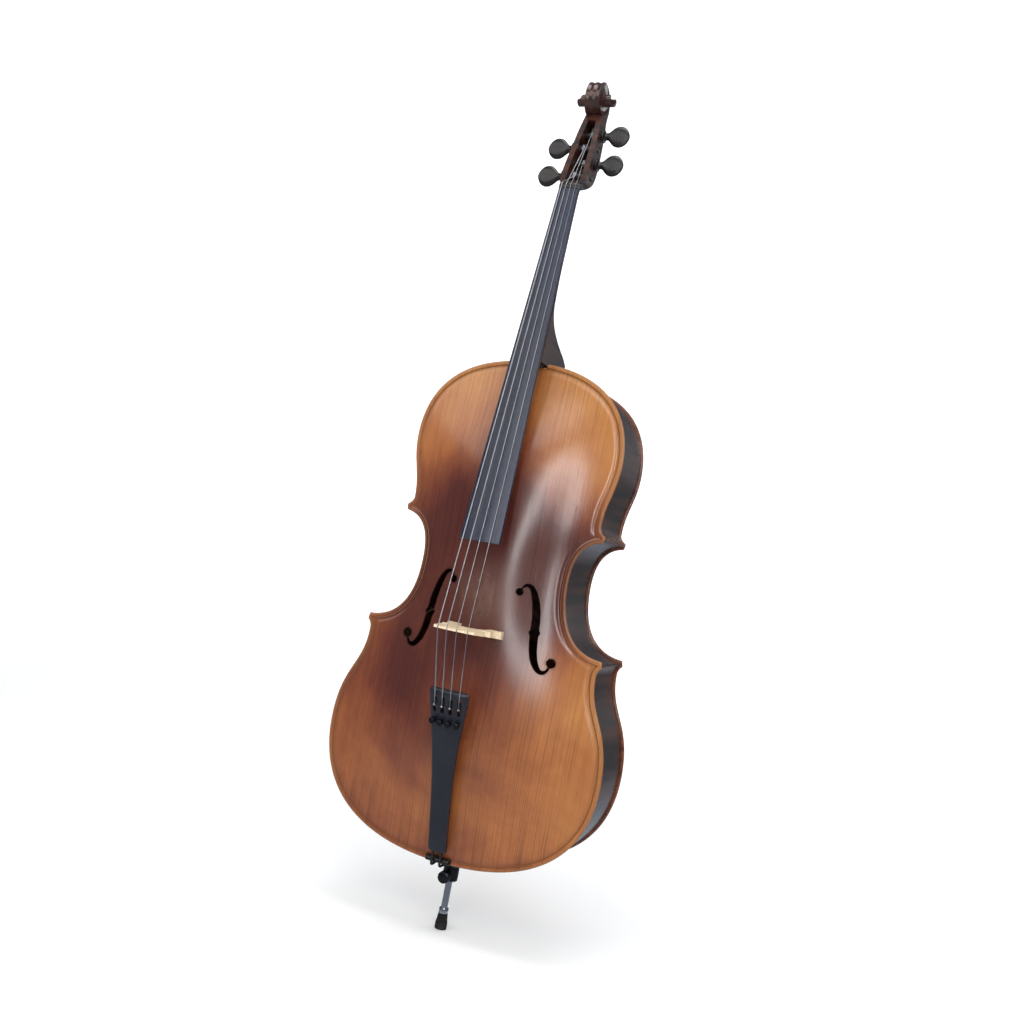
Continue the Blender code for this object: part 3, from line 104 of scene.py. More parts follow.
def mesh_object(name, verts, faces, angle=35.0, merge=True):
    """Closed mesh with its faces outward; edges sharper than angle (degrees) stay crisp."""
    pts = (np.asarray(verts, float) + [0.0, 0.0, FLOOR_DROP]) / 1000.0
    mesh = bpy.data.meshes.new(name)
    mesh.from_pydata(pts.tolist(), [], [tuple(int(i) for i in f) for f in faces])
    bm = bmesh.new()
    bm.from_mesh(mesh)
    if merge:
        bmesh.ops.remove_doubles(bm, verts=bm.verts, dist=1e-6)
    bmesh.ops.recalc_face_normals(bm, faces=bm.faces)
    if bm.calc_volume(signed=True) < 0:
        bmesh.ops.reverse_faces(bm, faces=bm.faces)
    bm.to_mesh(mesh)
    bm.free()
    shade(mesh, angle)
    obj = bpy.data.objects.new(name, mesh)
    bpy.context.scene.collection.objects.link(obj)
    return obj


def bevel(obj, width, segments, angle):
    mod = obj.modifiers.new("bevel", "BEVEL")
    mod.width = width / 1000.0
    mod.segments = segments
    mod.limit_method = "ANGLE"
    mod.angle_limit = math.radians(angle)
    mod.harden_normals = False
    return obj


def open_edges(mesh):
    """How many edges don't join exactly two faces."""
    used = np.zeros(len(mesh.loops), dtype=np.int32)
    mesh.loops.foreach_get("edge_index", used)
    return int(np.count_nonzero(np.bincount(used, minlength=len(mesh.edges)) != 2))


def cutter(shape, angle=35.0):
    return mesh_object("tool", *shape, angle), "DIFFERENCE"


def cut(obj, tools, angle=35.0):
    """Applies Booleans in order: (tool object, operation); the tools are removed."""
    for tool, operation in tools:
        mod = obj.modifiers.new("b", "BOOLEAN")
        mod.operation = operation
        mod.solver = "EXACT"
        mod.object = tool
    # a cut whose edges fall on the piece's own can leave the surface open,
    # so the tools then move by some microns
    best, least = None, None
    for k in range(8):
        for i, (tool, _) in enumerate(tools):
            tool.location = [k * 1.7e-6 * math.sin(2.1 * i + 1.3 * axis + k) for axis in range(3)]
        bpy.context.view_layer.update()
        graph = bpy.context.evaluated_depsgraph_get()
        tried = bpy.data.meshes.new_from_object(obj.evaluated_get(graph))
        count = open_edges(tried)
        if least is None or count < least:
            best, least, tried = tried, count, best
        if tried is not None:
            bpy.data.meshes.remove(tried)
        if least == 0:
            break
    obj.modifiers.clear()
    old = obj.data
    obj.data = best
    bpy.data.meshes.remove(old)
    for tool, _ in tools:
        bpy.data.objects.remove(tool, do_unlink=True)
    shade(obj.data, angle)
    return obj


def paint(obj, mat):
    obj.data.materials.clear()
    obj.data.materials.append(mat)


def dress(obj, mat, node=None, body="cello"):
    """Gives a piece its material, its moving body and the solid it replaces."""
    paint(obj, mat)
    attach(obj, body)
    if node:
        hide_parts(node)


def loft(rings):
    """Skin through rings of equal count, closed by a face at each end."""
    n = len(rings[0])
    verts = [tuple(p) for ring in rings for p in ring]
    faces = []
    for i in range(len(rings) - 1):
        for j in range(n):
            k = (j + 1) % n
            faces.append((i * n + j, i * n + k, (i + 1) * n + k, (i + 1) * n + j))
    faces.append(tuple(range(n)))
    faces.append(tuple((len(rings) - 1) * n + j for j in range(n)))
    return verts, faces


KNURL_ROWS = (8, 9)     # profile rows that carry the knurling of both knobs


def lathe(profile, origin=(0, 0, 0), axis=(0, 0, 1), n=48, knurl=None):
    """Solid of revolution of (radius, distance) pairs.

    knurl is (ridge count, scale where the cosine is positive, scale elsewhere).
    """
    axis = Vector(axis).normalized()
    side = axis.orthogonal().normalized()
    up = axis.cross(side)
    origin = Vector(origin)
    rings = []
    for i, (r, d) in enumerate(profile):
        ring = []
        for j in range(n):
            a = 2 * math.pi * j / n
            k = 1.0
            if knurl and i in KNURL_ROWS:
                k = knurl[1] if math.cos(knurl[0] * a) > 0 else knurl[2]
            ring.append(tuple(origin + axis * d + side * (r * k * math.cos(a))
                              + up * (r * k * math.sin(a))))
        rings.append(ring)
    return loft(rings)


def sleeve(loop, n):
    """Round sleeve about the endpin axis from a closed (radius, z) loop."""
    verts, faces = [], []
    m = len(loop)
    for j in range(n):
        a = 2 * math.pi * j / n
        verts += [(r * math.cos(a), r * math.sin(a), z) for r, z in loop]
    for j in range(n):
        k = (j + 1) % n
        for i in range(m):
            nxt = (i + 1) % m
            faces.append((j * m + i, j * m + nxt, k * m + nxt, k * m + i))
    return verts, faces


def tube(path, radii, n=12):
    """Round tube along a path; radii is one radius or one for each point."""
    path = [Vector(p) for p in path]
    rings, normal = [], None
    for i, p in enumerate(path):
        if i == 0:
            t = path[1] - p
        elif i == len(path) - 1:
            t = p - path[i - 1]
        else:
            t = (path[i + 1] - p).normalized() + (p - path[i - 1]).normalized()
        t = t.normalized()
        normal = t.orthogonal() if normal is None else normal - t * normal.dot(t)
        normal = normal.normalized()
        other = t.cross(normal)
        r = radii[i] if hasattr(radii, "__len__") else radii
        angles = [2 * math.pi * j / n for j in range(n)]
        rings.append([tuple(p + normal * (r * math.cos(a)) + other * (r * math.sin(a)))
                      for a in angles])
    return loft(rings)


# ================================================================ curve helpers
def bezier(p0, p1, p2, p3, n):
    t = np.linspace(0, 1, n + 1)[:, None]
    p0, p1, p2, p3 = map(np.array, (p0, p1, p2, p3))
    return (1 - t) ** 3 * p0 + 3 * (1 - t) ** 2 * t * p1 + 3 * (1 - t) * t * t * p2 + t ** 3 * p3


def chain(parts):
    """Joins curves that share their end points."""
    return np.vstack([parts[0]] + [part[1:] for part in parts[1:]])


def spline(points, per=5):
    """Catmull-Rom curve through points, with per steps to a span."""
    p = np.array(points, float)
    n = len(p)
    out = []
    for i in range(n - 1):
        a, b, c, d = (p[min(max(i + k, 0), n - 1)] for k in (-1, 0, 1, 2))
        for t in np.arange(per) / per:
            out.append(0.5 * (2 * b + (c - a) * t + (2 * a - 5 * b + 4 * c - d) * t * t
                              + (3 * b - a - 3 * c + d) * t ** 3))
    out.append(p[-1])
    return np.array(out)


def monotone(x, xs, ys):
    """Monotone cubic through a table."""
    xs, ys = np.asarray(xs, float), np.asarray(ys, float)
    h = np.diff(xs)
    m = np.diff(ys) / h
    d = np.zeros(len(xs))
    for i in range(1, len(xs) - 1):
        if m[i - 1] * m[i] > 0:
            w1, w2 = 2 * h[i] + h[i - 1], h[i] + 2 * h[i - 1]
            d[i] = (w1 + w2) / (w1 / m[i - 1] + w2 / m[i])
    d[0], d[-1] = m[0], m[-1]
    x = np.clip(x, xs[0], xs[-1])
    i = np.clip(np.searchsorted(xs, x) - 1, 0, len(h) - 1)
    t = (x - xs[i]) / h[i]
    return (ys[i] * (1 + 2 * t) * (1 - t) ** 2 + h[i] * d[i] * t * (1 - t) ** 2
            + ys[i + 1] * t * t * (3 - 2 * t) + h[i] * d[i + 1] * t * t * (t - 1))


def along(value, rows, k=1):
    """Column k of a table at a value of column 0, on a monotone cubic."""
    return float(monotone(value, [r[0] for r in rows], [r[k] for r in rows]))


def between(value, rows, k=1):
    """Column k of a table at a value of column 0, on straight lines."""
    return float(np.interp(value, [r[0] for r in rows], [r[k] for r in rows]))


def bell(value, centre, width):
    return np.exp(-((value - centre) / width) ** 2)


def sag(x, r=BOARD_R):
    """How far a crowned face of radius r falls back at x."""
    return r - math.sqrt(r * r - x * x)


def mirror_close(half):
    left = half[half[:, 0] > 1e-6][::-1].copy()
    left[:, 0] *= -1
    return np.vstack([half, left])


def seg_distance(points, curve, closed=False):
    """Distance of each point from a polyline."""
    starts = curve if closed else curve[:-1]
    ends = np.roll(curve, -1, axis=0) if closed else curve[1:]
    best = np.full(len(points), 1e18)
    px, pz = points.T.copy()
    for (ax, az), (dx, dz) in zip(starts, ends - starts):
        q = max(dx * dx + dz * dz, 1e-12)
        t = np.clip(((px - ax) * dx + (pz - az) * dz) / q, 0, 1)
        ex, ez = px - ax - t * dx, pz - az - t * dz
        np.minimum(best, ex * ex + ez * ez, out=best)
    return np.sqrt(best)


def inside(points, poly):
    x, z = points[:, 0], points[:, 1]
    odd = np.zeros(len(points), bool)
    for (x0, z0), (x1, z1) in zip(poly, np.roll(poly, -1, axis=0)):
        if z0 == z1:
            continue
        cross = (z0 > z) != (z1 > z)
        odd ^= cross & (x < (x1 - x0) * (z - z0) / (z1 - z0) + x0)
    return odd


def normals(curve):
    """Unit normals, to the left of the way along the curve."""
    t = np.gradient(curve, axis=0)
    t /= np.maximum(np.hypot(t[:, 0], t[:, 1]), 1e-9)[:, None]
    return np.stack([-t[:, 1], t[:, 0]], axis=1)


def offset(curve, d):
    return curve + d * normals(curve)


def resample(curve, step):
    d = np.concatenate([[0], np.cumsum(np.hypot(*np.diff(curve, axis=0).T))])
    n = max(2, int(round(d[-1] / step)) + 1)
    s = np.linspace(0, d[-1], n)
    return np.stack([np.interp(s, d, curve[:, 0]), np.interp(s, d, curve[:, 1])], axis=1)


def ring_edges(start, count):
    return [(start + i, start + (i + 1) % count) for i in range(count)]


def triangulate(flat, edges, loop, holes):
    """Points and triangles that fill the loop around its holes."""
    out = delaunay_2d_cdt([Vector(p) for p in flat], edges, [], 0, 1e-5)
    pts = np.array([tuple(v) for v in out[0]])
    tris = np.array(list(out[2]))
    mid = pts[tris].mean(axis=1)
    keep = inside(mid, loop)
    for hole in holes:
        keep &= ~inside(mid, hole)
    return pts, tris[keep]


def slab_faces(tris, n):
    """Faces of two copies of a triangulation, n points apart, with walls round their edges."""
    seen = {}
    for t in tris.tolist():
        for a, b in ((t[0], t[1]), (t[1], t[2]), (t[2], t[0])):
            seen.setdefault((min(a, b), max(a, b)), []).append((a, b))
    walls = [(v[0][0], v[0][1], v[0][1] + n, v[0][0] + n) for v in seen.values() if len(v) == 1]
    return [tuple(t) for t in tris.tolist()] + [tuple(t[::-1]) for t in (tris + n).tolist()] + walls


# ================================================================ outline and arching
def bout_curves(n=60):
    """Right half of the outline from the bottom up: lower bout, waist and upper bout."""
    wl, zl, wu, zu, wc, zc = LOWER_W, LOWER_Z, UPPER_W, UPPER_Z, WAIST_W, WAIST_Z
    (x_turn, z_turn), (x_corner, z_corner) = TURN_L, CORNER_L
    lower = [bezier((0, 0), (0.66 * wl, 0), (wl, zl * 0.37), (wl, zl), 2 * n)]
    dz = z_turn - zl
    lower.append(bezier((wl, zl), (wl, zl + 0.55 * dz), (x_turn, z_turn - 0.40 * dz), TURN_L, n))
    a = (x_corner, z_corner - CORNER_H_L / 2)
    dz = a[1] - z_turn
    lower.append(bezier(TURN_L, (x_turn, z_turn + 0.45 * dz), (a[0] - 5, a[1] - 0.30 * dz),
                        a, n // 3))
    a = (x_corner - 2.0, z_corner + CORNER_H_L / 2)
    dz, dx = zc - a[1], a[0] - wc
    waist = [bezier(a, (a[0] - 0.62 * dx, a[1] + 0.02 * dz), (wc, zc - 0.66 * dz), (wc, zc), n)]
    (x_turn, z_turn), (x_corner, z_corner) = TURN_U, CORNER_U
    a = (x_corner - 1.5, z_corner - CORNER_H_U / 2)
    dz, dx = a[1] - zc, a[0] - wc
    waist.append(bezier((wc, zc), (wc, zc + 0.66 * dz), (a[0] - 0.62 * dx, a[1] - 0.06 * dz),
                        a, n))
    a = (x_corner, z_corner + CORNER_H_U / 2)
    dz = z_turn - a[1]
    upper = [bezier(a, (a[0] - 5, a[1] + 0.30 * dz), (x_turn, z_turn - 0.45 * dz), TURN_U, n // 3)]
    dz = zu - z_turn
    upper.append(bezier(TURN_U, (x_turn, z_turn + 0.40 * dz), (wu, zu - 0.42 * dz), (wu, zu), n))
    upper.append(bezier((wu, zu), (wu, zu + 0.63 * (BODY - zu)), (0.65 * wu, BODY), (0, BODY),
                        2 * n))
    return chain(lower), chain(waist), chain(upper)


BOUTS = [resample(c, 3.4) for c in bout_curves()]
CORNERS = [resample(np.array([BOUTS[i][-1], BOUTS[i + 1][0]]), 1.5) for i in (0, 1)]
HALF = np.vstack([BOUTS[0], CORNERS[0][1:-1], BOUTS[1], CORNERS[1][1:-1], BOUTS[2]])
OUTLINE = mirror_close(HALF)


def arch_field(poly, step):
    """Grid of a loaded membrane over the outline; the load is tuned row by row until the
    centre line follows its goal height."""
    xs = np.arange(-math.ceil(232 / step), math.ceil(232 / step) + 1) * step
    zs = np.arange(-2 * step, BODY + 2.5 * step, step)
    X, Z = np.meshgrid(xs, zs)
    mask = inside(np.stack([X.ravel(), Z.ravel()], 1), poly).reshape(X.shape)
    # distance to each neighbour (+x, -x, +z, -z), or to the outline where that is nearer
    arms = [np.full(X.shape, step) for _ in range(4)]
    nxt = np.roll(poly, -1, axis=0)
    for axis, lines, coords in ((0, zs, xs), (1, xs, zs)):
        ahead, behind = arms[2 * axis:2 * axis + 2]
        if axis == 1:
            ahead, behind = ahead.T, behind.T
        lo, hi = poly[:, 1 - axis], nxt[:, 1 - axis]
        for i, value in enumerate(lines):
            hit = (lo > value) != (hi > value)
            t = (value - lo[hit]) / (hi[hit] - lo[hit])
            for c in poly[hit, axis] + t * (nxt[hit, axis] - poly[hit, axis]):
                gap = c - coords
                up, down = (gap > 0) & (gap < step), (gap < 0) & (gap > -step)
                ahead[i, up] = np.maximum(gap[up], 0.08 * step)
                behind[i, down] = np.maximum(-gap[down], 0.08 * step)
    e, w, n, s = arms
    ce, cw = 2 / (e * (e + w)), 2 / (w * (e + w))
    cn, cs = 2 / (n * (n + s)), 2 / (s * (n + s))
    c0 = ce + cw + cn + cs
    weights = [np.where(a < step, 0, c).ravel() for a, c in ((e, ce), (w, cw), (n, cn), (s, cs))]
    width = len(xs)
    parity = (np.add.outer(np.arange(len(zs)), np.arange(width)) % 2).astype(bool)
    goal = 1 - (1 - np.clip(np.minimum(zs, BODY - zs) / 185.0, 0, 1)) ** 2.2
    load = np.full(len(zs), 1e-4)
    u = np.zeros(X.size)
    sets = []
    for colour in (parity, ~parity):
        idx = np.nonzero((mask & colour).ravel())[0]
        sets.append((idx, *(c[idx] for c in weights), 1 / c0.ravel()[idx], idx // width))
    mid = int(np.argmin(abs(xs)))
    ok = mask[:, mid]
    omega = 2 / (1 + math.sin(math.pi / (440 / step)))    # over-relaxation
    for _ in range(9):
        for _ in range(int(1100 / step)):
            for idx, a, b, c, d, inv, row in sets:
                total = (a * u[idx + 1] + b * u[idx - 1] + c * u[idx + width]
                         + d * u[idx - width] + load[row])
                u[idx] += omega * (total * inv - u[idx])
        ratio = np.ones(len(zs))
        centre = u.reshape(X.shape)[:, mid]
        ratio[ok] = goal[ok] / np.maximum(centre[ok], 1e-3)
        load = load * np.clip(ratio, 0.3, 3.0)
        for _ in range(int(2 * (8 / step) ** 2)):
            load[1:-1] = 0.25 * load[:-2] + 0.5 * load[1:-1] + 0.25 * load[2:]
    u = np.clip(u.reshape(X.shape), 0, 1.04)
    return xs, zs, u / max(1.0, u.max())


FIELD = arch_field(OUTLINE, 4.0)


def arch(x, z):
    """Height of the arch, 0 to 1, smooth to the second derivative."""
    xs, zs, u = FIELD
    h = xs[1] - xs[0]
    x, z = np.atleast_1d(np.asarray(x, float)), np.atleast_1d(np.asarray(z, float))
    i = np.clip((x - xs[0]) / h, 1, len(xs) - 3.001)
    j = np.clip((z - zs[0]) / h, 1, len(zs) - 3.001)
    i0, j0 = i.astype(int), j.astype(int)

    def weights(t):
        return [(1 - t) ** 3 / 6, (3 * t ** 3 - 6 * t * t + 4) / 6,
                (-3 * t ** 3 + 3 * t * t + 3 * t + 1) / 6, t ** 3 / 6]

    wi, wj = weights(i - i0), weights(j - j0)
    s = np.zeros(len(x))
    for a in range(4):
        for b in range(4):
            s += wj[a] * wi[b] * u[j0 + a - 1, i0 + b - 1]
    q = 1 - np.clip(s, 0, 1.02)
    root = math.pi * np.sqrt(np.abs(q))
    return np.where(q >= 0, 0.5 + 0.5 * np.cos(root), 0.5 + 0.5 * np.cosh(root))


# ================================================================ material helpers
def srgb(r, g, b):
    out = []
    for c in (r, g, b):
        c = c / 255.0
        out.append(c / 12.92 if c <= 0.04045 else ((c + 0.055) / 1.055) ** 2.4)
    return (*out, 1.0)


def darker(colour, factor):
    return srgb(*[int(c * factor) for c in colour])


def put(tree, node, key, value):
    """Links a socket or sets a value; None leaves the input alone."""
    if isinstance(value, bpy.types.NodeSocket):
        tree.links.new(value, node.inputs[key])
    elif value is not None:
        node.inputs[key].default_value = value


def add_node(tree, kind, inputs=None, **settings):
    node = tree.nodes.new("ShaderNode" + kind)
    for key, value in settings.items():
        setattr(node, key, value)
    for key, value in (inputs or {}).items():
        put(tree, node, key, value)
    return node


class Shader:
    """Small builder for node materials; scales are per metre of object space."""

    INPUTS = {"color": "Base Color", "rough": "Roughness", "metal": "Metallic",
              "normal": "Normal", "spec": "Specular IOR Level", "coat": "Coat Weight",
              "coat_rough": "Coat Roughness", "coat_normal": "Coat Normal",
              "coat_tint": "Coat Tint", "glow": "Emission Color",
              "glow_strength": "Emission Strength"}

    def __init__(self, name):
        self.mat = bpy.data.materials.new(name)
        self.mat.use_nodes = True
        self.tree = self.mat.node_tree
        self.coord = self.node("TexCoord").outputs["Object"]

    def node(self, kind, inputs=None, **settings):
        return add_node(self.tree, kind, inputs, **settings)

    def map(self, scale, turn=(0, 0, 0), shift=(0, 0, 0), vec=None):
        return self.node("Mapping", {"Vector": self.coord if vec is None else vec, "Scale": scale,
                                     "Rotation": turn, "Location": shift}).outputs[0]

    def noise_at(self, vec, scale=1.0, detail=3.0, rough=0.5, distortion=0.0):
        return self.node("TexNoise", {"Vector": vec, "Scale": scale, "Detail": detail,
                                      "Roughness": rough, "Distortion": distortion}).outputs["Fac"]

    def noise(self, scale, turn=(0, 0, 0), shift=(0, 0, 0), **kw):
        """Noise in object space; scale is one number or one for each axis."""
        scale = scale if hasattr(scale, "__len__") else (scale, scale, scale)
        return self.noise_at(self.map(scale, turn, shift), **kw)

    def bands(self, scale, distortion, detail, detail_scale):
        """Wave bands across z."""
        inputs = {"Vector": self.map((0, 0, 1)), "Scale": scale, "Distortion": distortion,
                  "Detail": detail, "Detail Scale": detail_scale}
        return self.node("TexWave", inputs, bands_direction="Z").outputs["Fac"]

    def ramp(self, fac, stops):
        node = self.node("ValToRGB", {"Fac": fac})
        elements = node.color_ramp.elements
        while len(elements) < len(stops):
            elements.new(0.5)
        for element, (pos, col) in zip(elements, stops):
            element.position = pos
            element.color = col if hasattr(col, "__len__") else (col, col, col, 1)
        return node.outputs["Color"]

    def mix(self, fac, a, b, blend="MIX"):
        return self.node("Mix", {0: fac, 6: a, 7: b}, data_type="RGBA", blend_type=blend,
                         clamp_factor=True).outputs[2]

    def tint(self, col, by):
        return self.mix(1.0, col, by, "MULTIPLY")

    def op(self, kind, a, b=None, clamp=False):
        return self.node("Math", {0: a, 1: b}, operation=kind, use_clamp=clamp).outputs[0]

    def add(self, a, b, clamp=False):
        return self.op("ADD", a, b, clamp)

    def sub(self, a, b, clamp=False):
        return self.op("SUBTRACT", a, b, clamp)

    def mul(self, a, b):
        return self.op("MULTIPLY", a, b)

    def vary(self, base, spread, fac, clamp=False):
        """base + spread * fac"""
        return self.add(base, self.mul(fac, spread), clamp)

    def upto(self, value, width):
        """value / width, held to 0..1"""
        return self.op("DIVIDE", value, width, clamp=True)

    def fade(self, value, width):
        """1 at a value of 0, falling to 0 at width."""
        return self.sub(1.0, self.upto(value, width))

    def band(self, value, lo, hi, soft):
        """1 between lo and hi, 0 outside."""
        a = self.upto(self.sub(value, lo - soft), 2 * soft)
        return self.mul(a, self.upto(self.sub(hi + soft, value), 2 * soft))

    def attr(self, name):
        return self.node("Attribute", attribute_name=name).outputs["Fac"]

    def xyz(self):
        return self.node("SeparateXYZ", {0: self.coord}).outputs

    def combine(self, x=None, y=None, z=None):
        return self.node("CombineXYZ", {0: x, 1: y, 2: z}).outputs[0]

    def bump(self, height, strength, distance):
        return self.node("Bump", {"Height": height, "Strength": strength,
                                  "Distance": distance}).outputs[0]

    def set(self, **kw):
        for key, value in kw.items():
            put(self.tree, self.tree.nodes["Principled BSDF"], self.INPUTS[key], value)
        return self.mat


# ================================================================ materials
def purfling(m, col, edge, white, black):
    """Black, white and black inlaid lines, by distance from the plate's edge."""
    lines = m.op("MAXIMUM", m.band(edge, 6.05, 6.6, soft=0.08), m.band(edge, 7.3, 7.85, soft=0.08))
    col = m.mix(m.band(edge, 6.6, 7.3, soft=0.08), col, white)
    return m.mix(lines, col, black)


def spruce_varnish():
    m = Shader("varnish_spruce")
    edge, hole, tone = m.attr("edge_d"), m.attr("hole_d"), m.attr("tone")
    x, _, z = m.xyz()
    # annual rings run the length of the plate, wandering by up to 10 mm
    warp = m.noise((9, 9, 2.2), detail=2.0)
    across = m.vary(m.op("ABSOLUTE", x), 0.010, warp)
    stretched = m.combine(x=across, z=m.mul(z, 0.006))
    rings = m.noise_at(m.map((1, 1, 1), vec=stretched), scale=700.0, detail=1.5)
    grain = m.ramp(rings, [(0.32, 0.66), (0.50, 0.95), (0.62, 1.0)])
    fibre = m.noise((1500, 1500, 22), rough=0.6)
    fibre = m.ramp(fibre, [(0.25, 0.86), (0.7, 1.04)])
    # colour from the tone attribute: amber bouts and a red-brown middle, darkened over the left
    # half as painted shade; cloudy patches
    cloud = m.noise((5.0, 5.0, 3.4), shift=(3.1, 0.4, 1.7), detail=5.0, rough=0.6, distortion=0.6)
    fine = m.noise((16.0, 16.0, 9.0), shift=(1.1, 0.4, 4.7), detail=4.0, rough=0.62,
                   distortion=0.4)
    t = m.vary(tone, 1.05, m.sub(cloud, 0.5))
    t = m.vary(t, 0.42, m.sub(fine, 0.5), clamp=True)
    col = m.ramp(t, [(0.0, srgb(178, 123, 68)), (0.28, srgb(158, 98, 55)),
                     (0.55, srgb(127, 70, 44)), (0.8, srgb(99, 48, 38)), (1.0, srgb(80, 36, 33))])
    col = m.tint(m.tint(col, grain), fibre)
    # lighter edge outside the purfling, in patches, and a darker band inside it
    lighter_edge = m.fade(m.sub(edge, 2.4), width=2.2)
    lighter_edge = m.mul(lighter_edge, m.ramp(m.noise(60), [(0.3, 0.55), (0.6, 1.0)]))
    col = m.mix(m.mul(lighter_edge, 0.5), col, srgb(140, 98, 64))
    crease = m.band(edge, 8.2, 11.5, soft=1.6)
    col = m.mix(m.mul(crease, 0.18), col, srgb(60, 28, 20))
    col = purfling(m, col, edge, white=srgb(150, 98, 56), black=srgb(24, 14, 12))
    # dirt and darker cut edge round the sound holes
    rim = m.fade(hole, width=3.4)
    col = m.mix(m.mul(rim, 0.5), col, srgb(40, 20, 16))
    # rosin dust below the strings
    dust = m.mul(m.fade(m.op("ABSOLUTE", x), width=0.055), m.band(z, 0.475, 0.545, soft=0.03))
    dust = m.mul(dust, m.noise((90, 90, 40), detail=4.0))
    col = m.mix(m.mul(dust, 0.16), col, srgb(212, 204, 190))
    # hairline marks in the varnish, slanting two ways
    peel = m.noise((38, 38, 30))
    marks = [m.ramp(m.noise(scale, turn=(0, math.radians(slant), 0), shift=shift, detail=2.0),
                    [(0.70, 0.0), (0.73, 1.0)])
             for scale, slant, shift in (((160, 160, 9), 24, (0, 0, 0)),
                                         ((210, 210, 12), -52, (3, 1, 2)))]
    relief = m.add(m.mul(rings, 0.6), m.mul(peel, 1.6))
    relief = m.sub(relief, m.mul(m.op("MAXIMUM", *marks), 0.5))
    rough = m.vary(0.13, 0.10, m.noise((14, 14, 10), detail=4.0))
    rough = m.vary(rough, 0.3, dust)
    return m.set(color=col, rough=0.42, spec=0.22, coat=1.0, coat_rough=rough,
                 coat_tint=(1.0, 0.93, 0.82, 1),
                 normal=m.bump(rings, strength=0.14, distance=0.0004),
                 coat_normal=m.bump(relief, strength=0.10, distance=0.0006))


def maple_varnish(name, stops, flame, slope, wear=0.0, pore_scale=(420, 420, 16)):
    """Flamed maple under varnish; flame is the stripes' size along z in mm, slope their slant."""
    m = Shader(name)
    x, y, z = m.xyz()
    tilt = m.mul(m.op("ABSOLUTE", x), slope)
    wobble = m.mul(m.noise((11, 11, 4), detail=2.0), 0.022)
    pos = m.add(m.add(z, tilt), wobble)
    stretched = m.combine(pos, m.mul(x, 0.08), m.mul(y, 0.08))
    bands = m.noise_at(stretched, scale=1000.0 / flame / 1.6, detail=1.2, distortion=0.2)
    bands = m.ramp(bands, [(0.28, 0.0), (0.45, 0.45), (0.58, 0.85), (0.74, 1.0)])
    pores = m.noise(pore_scale, rough=0.6)
    cloud = m.noise((4.4, 4.4, 3.6), shift=(2.0, 5.0, 1.0), detail=4.0, rough=0.55)
    t = m.vary(m.mul(bands, 0.62), 0.5, cloud)
    t = m.sub(t, 0.05, clamp=True)
    col = m.ramp(t, stops)
    col = m.tint(col, m.ramp(pores, [(0.3, 0.72), (0.6, 1.02)]))
    if wear:
        # a plate: worn edge, purfling and the joint on the centre line
        edge = m.attr("edge_d")
        lighter_edge = m.fade(m.sub(edge, 2.2), width=2.4)
        col = m.mix(m.mul(lighter_edge, wear), col, srgb(150, 100, 62))
        col = purfling(m, col, edge, white=srgb(140, 96, 58), black=srgb(18, 11, 10))
        seam = m.fade(m.op("ABSOLUTE", x), width=0.00035)
        col = m.mix(m.mul(seam, 0.6), col, srgb(20, 12, 10))
    peel = m.noise(42)
    rough = m.vary(0.11, 0.10, m.noise(12, detail=4.0))
    return m.set(color=col, rough=0.42, spec=0.2, coat=1.0, coat_rough=rough,
                 normal=m.bump(bands, strength=0.06, distance=0.0006),
                 coat_normal=m.bump(peel, strength=0.10, distance=0.0007))


def bare_spruce():
    m = Shader("bare_spruce")
    grain = m.noise((420, 420, 10), rough=0.6)
    cloud = m.noise((20, 20, 6))
    col = m.ramp(m.add(m.mul(grain, 0.7), m.mul(cloud, 0.3)),
                 [(0.3, srgb(176, 146, 102)), (0.62, srgb(214, 190, 150))])
    return m.set(color=col, rough=0.7, spec=0.25,
                 normal=m.bump(grain, strength=0.25, distance=0.0004))


def bridge_maple():
    m = Shader("bridge_maple")
    fleck = m.noise((900, 260, 900), detail=2.0)
    fleck = m.ramp(fleck, [(0.58, 0.0), (0.66, 1.0)])
    grain = m.noise((60, 700, 300))
    col = m.ramp(grain, [(0.3, srgb(206, 182, 146)), (0.7, srgb(232, 214, 184))])
    col = m.mix(m.mul(fleck, 0.3), col, srgb(172, 138, 98))
    return m.set(color=col, rough=0.52, spec=0.35,
                 normal=m.bump(grain, strength=0.05, distance=0.0002))


def ebony(name, rough, dark, light):
    m = Shader(name)
    grain = m.noise((700, 700, 14), rough=0.6)
    cloud = m.noise((18, 18, 3))
    col = m.ramp(m.add(m.mul(grain, 0.6), m.mul(cloud, 0.4)),
                 [(0.35, srgb(*dark)), (0.68, srgb(*light))])
    rough = m.vary(rough - 0.05, 0.16, m.noise((60, 60, 10), detail=4.0))
    return m.set(color=col, rough=rough, spec=0.5,
                 normal=m.bump(grain, strength=0.10, distance=0.0002))


def plastic(name, colour, rough):
    m = Shader(name)
    fine = m.noise(900, detail=2.0)
    wear = m.noise(30, detail=4.0)
    lighter = srgb(*[min(255, int(c * 1.35 + 5)) for c in colour])
    return m.set(color=m.mix(wear, srgb(*colour), lighter), rough=m.vary(rough - 0.06, 0.16, wear),
                 spec=0.5, normal=m.bump(fine, strength=0.05, distance=0.0001))


def metal(name, colour, rough, strength=0.05):
    m = Shader(name)
    scratch = m.noise((10, 10, 500), rough=0.6)
    wear = m.noise(40, detail=4.0)
    col = m.mix(wear, srgb(*colour), darker(colour, 0.78))
    return m.set(color=col, metal=1.0, rough=m.vary(rough - 0.05, 0.14, wear),
                 normal=m.bump(scratch, strength=strength, distance=0.0002))


def wound_string(name, pitch):
    m = Shader(name)
    winding = m.bands(scale=1000.0 / pitch / 6.2832 * 3.1416, distortion=0.0, detail=0.0,
                      detail_scale=1.0)
    steel = (205, 207, 212)
    col = m.mix(m.noise(50), srgb(*steel), darker(steel, 0.8))
    return m.set(color=col, metal=1.0, rough=0.30,
                 normal=m.bump(winding, strength=0.35, distance=0.0001))


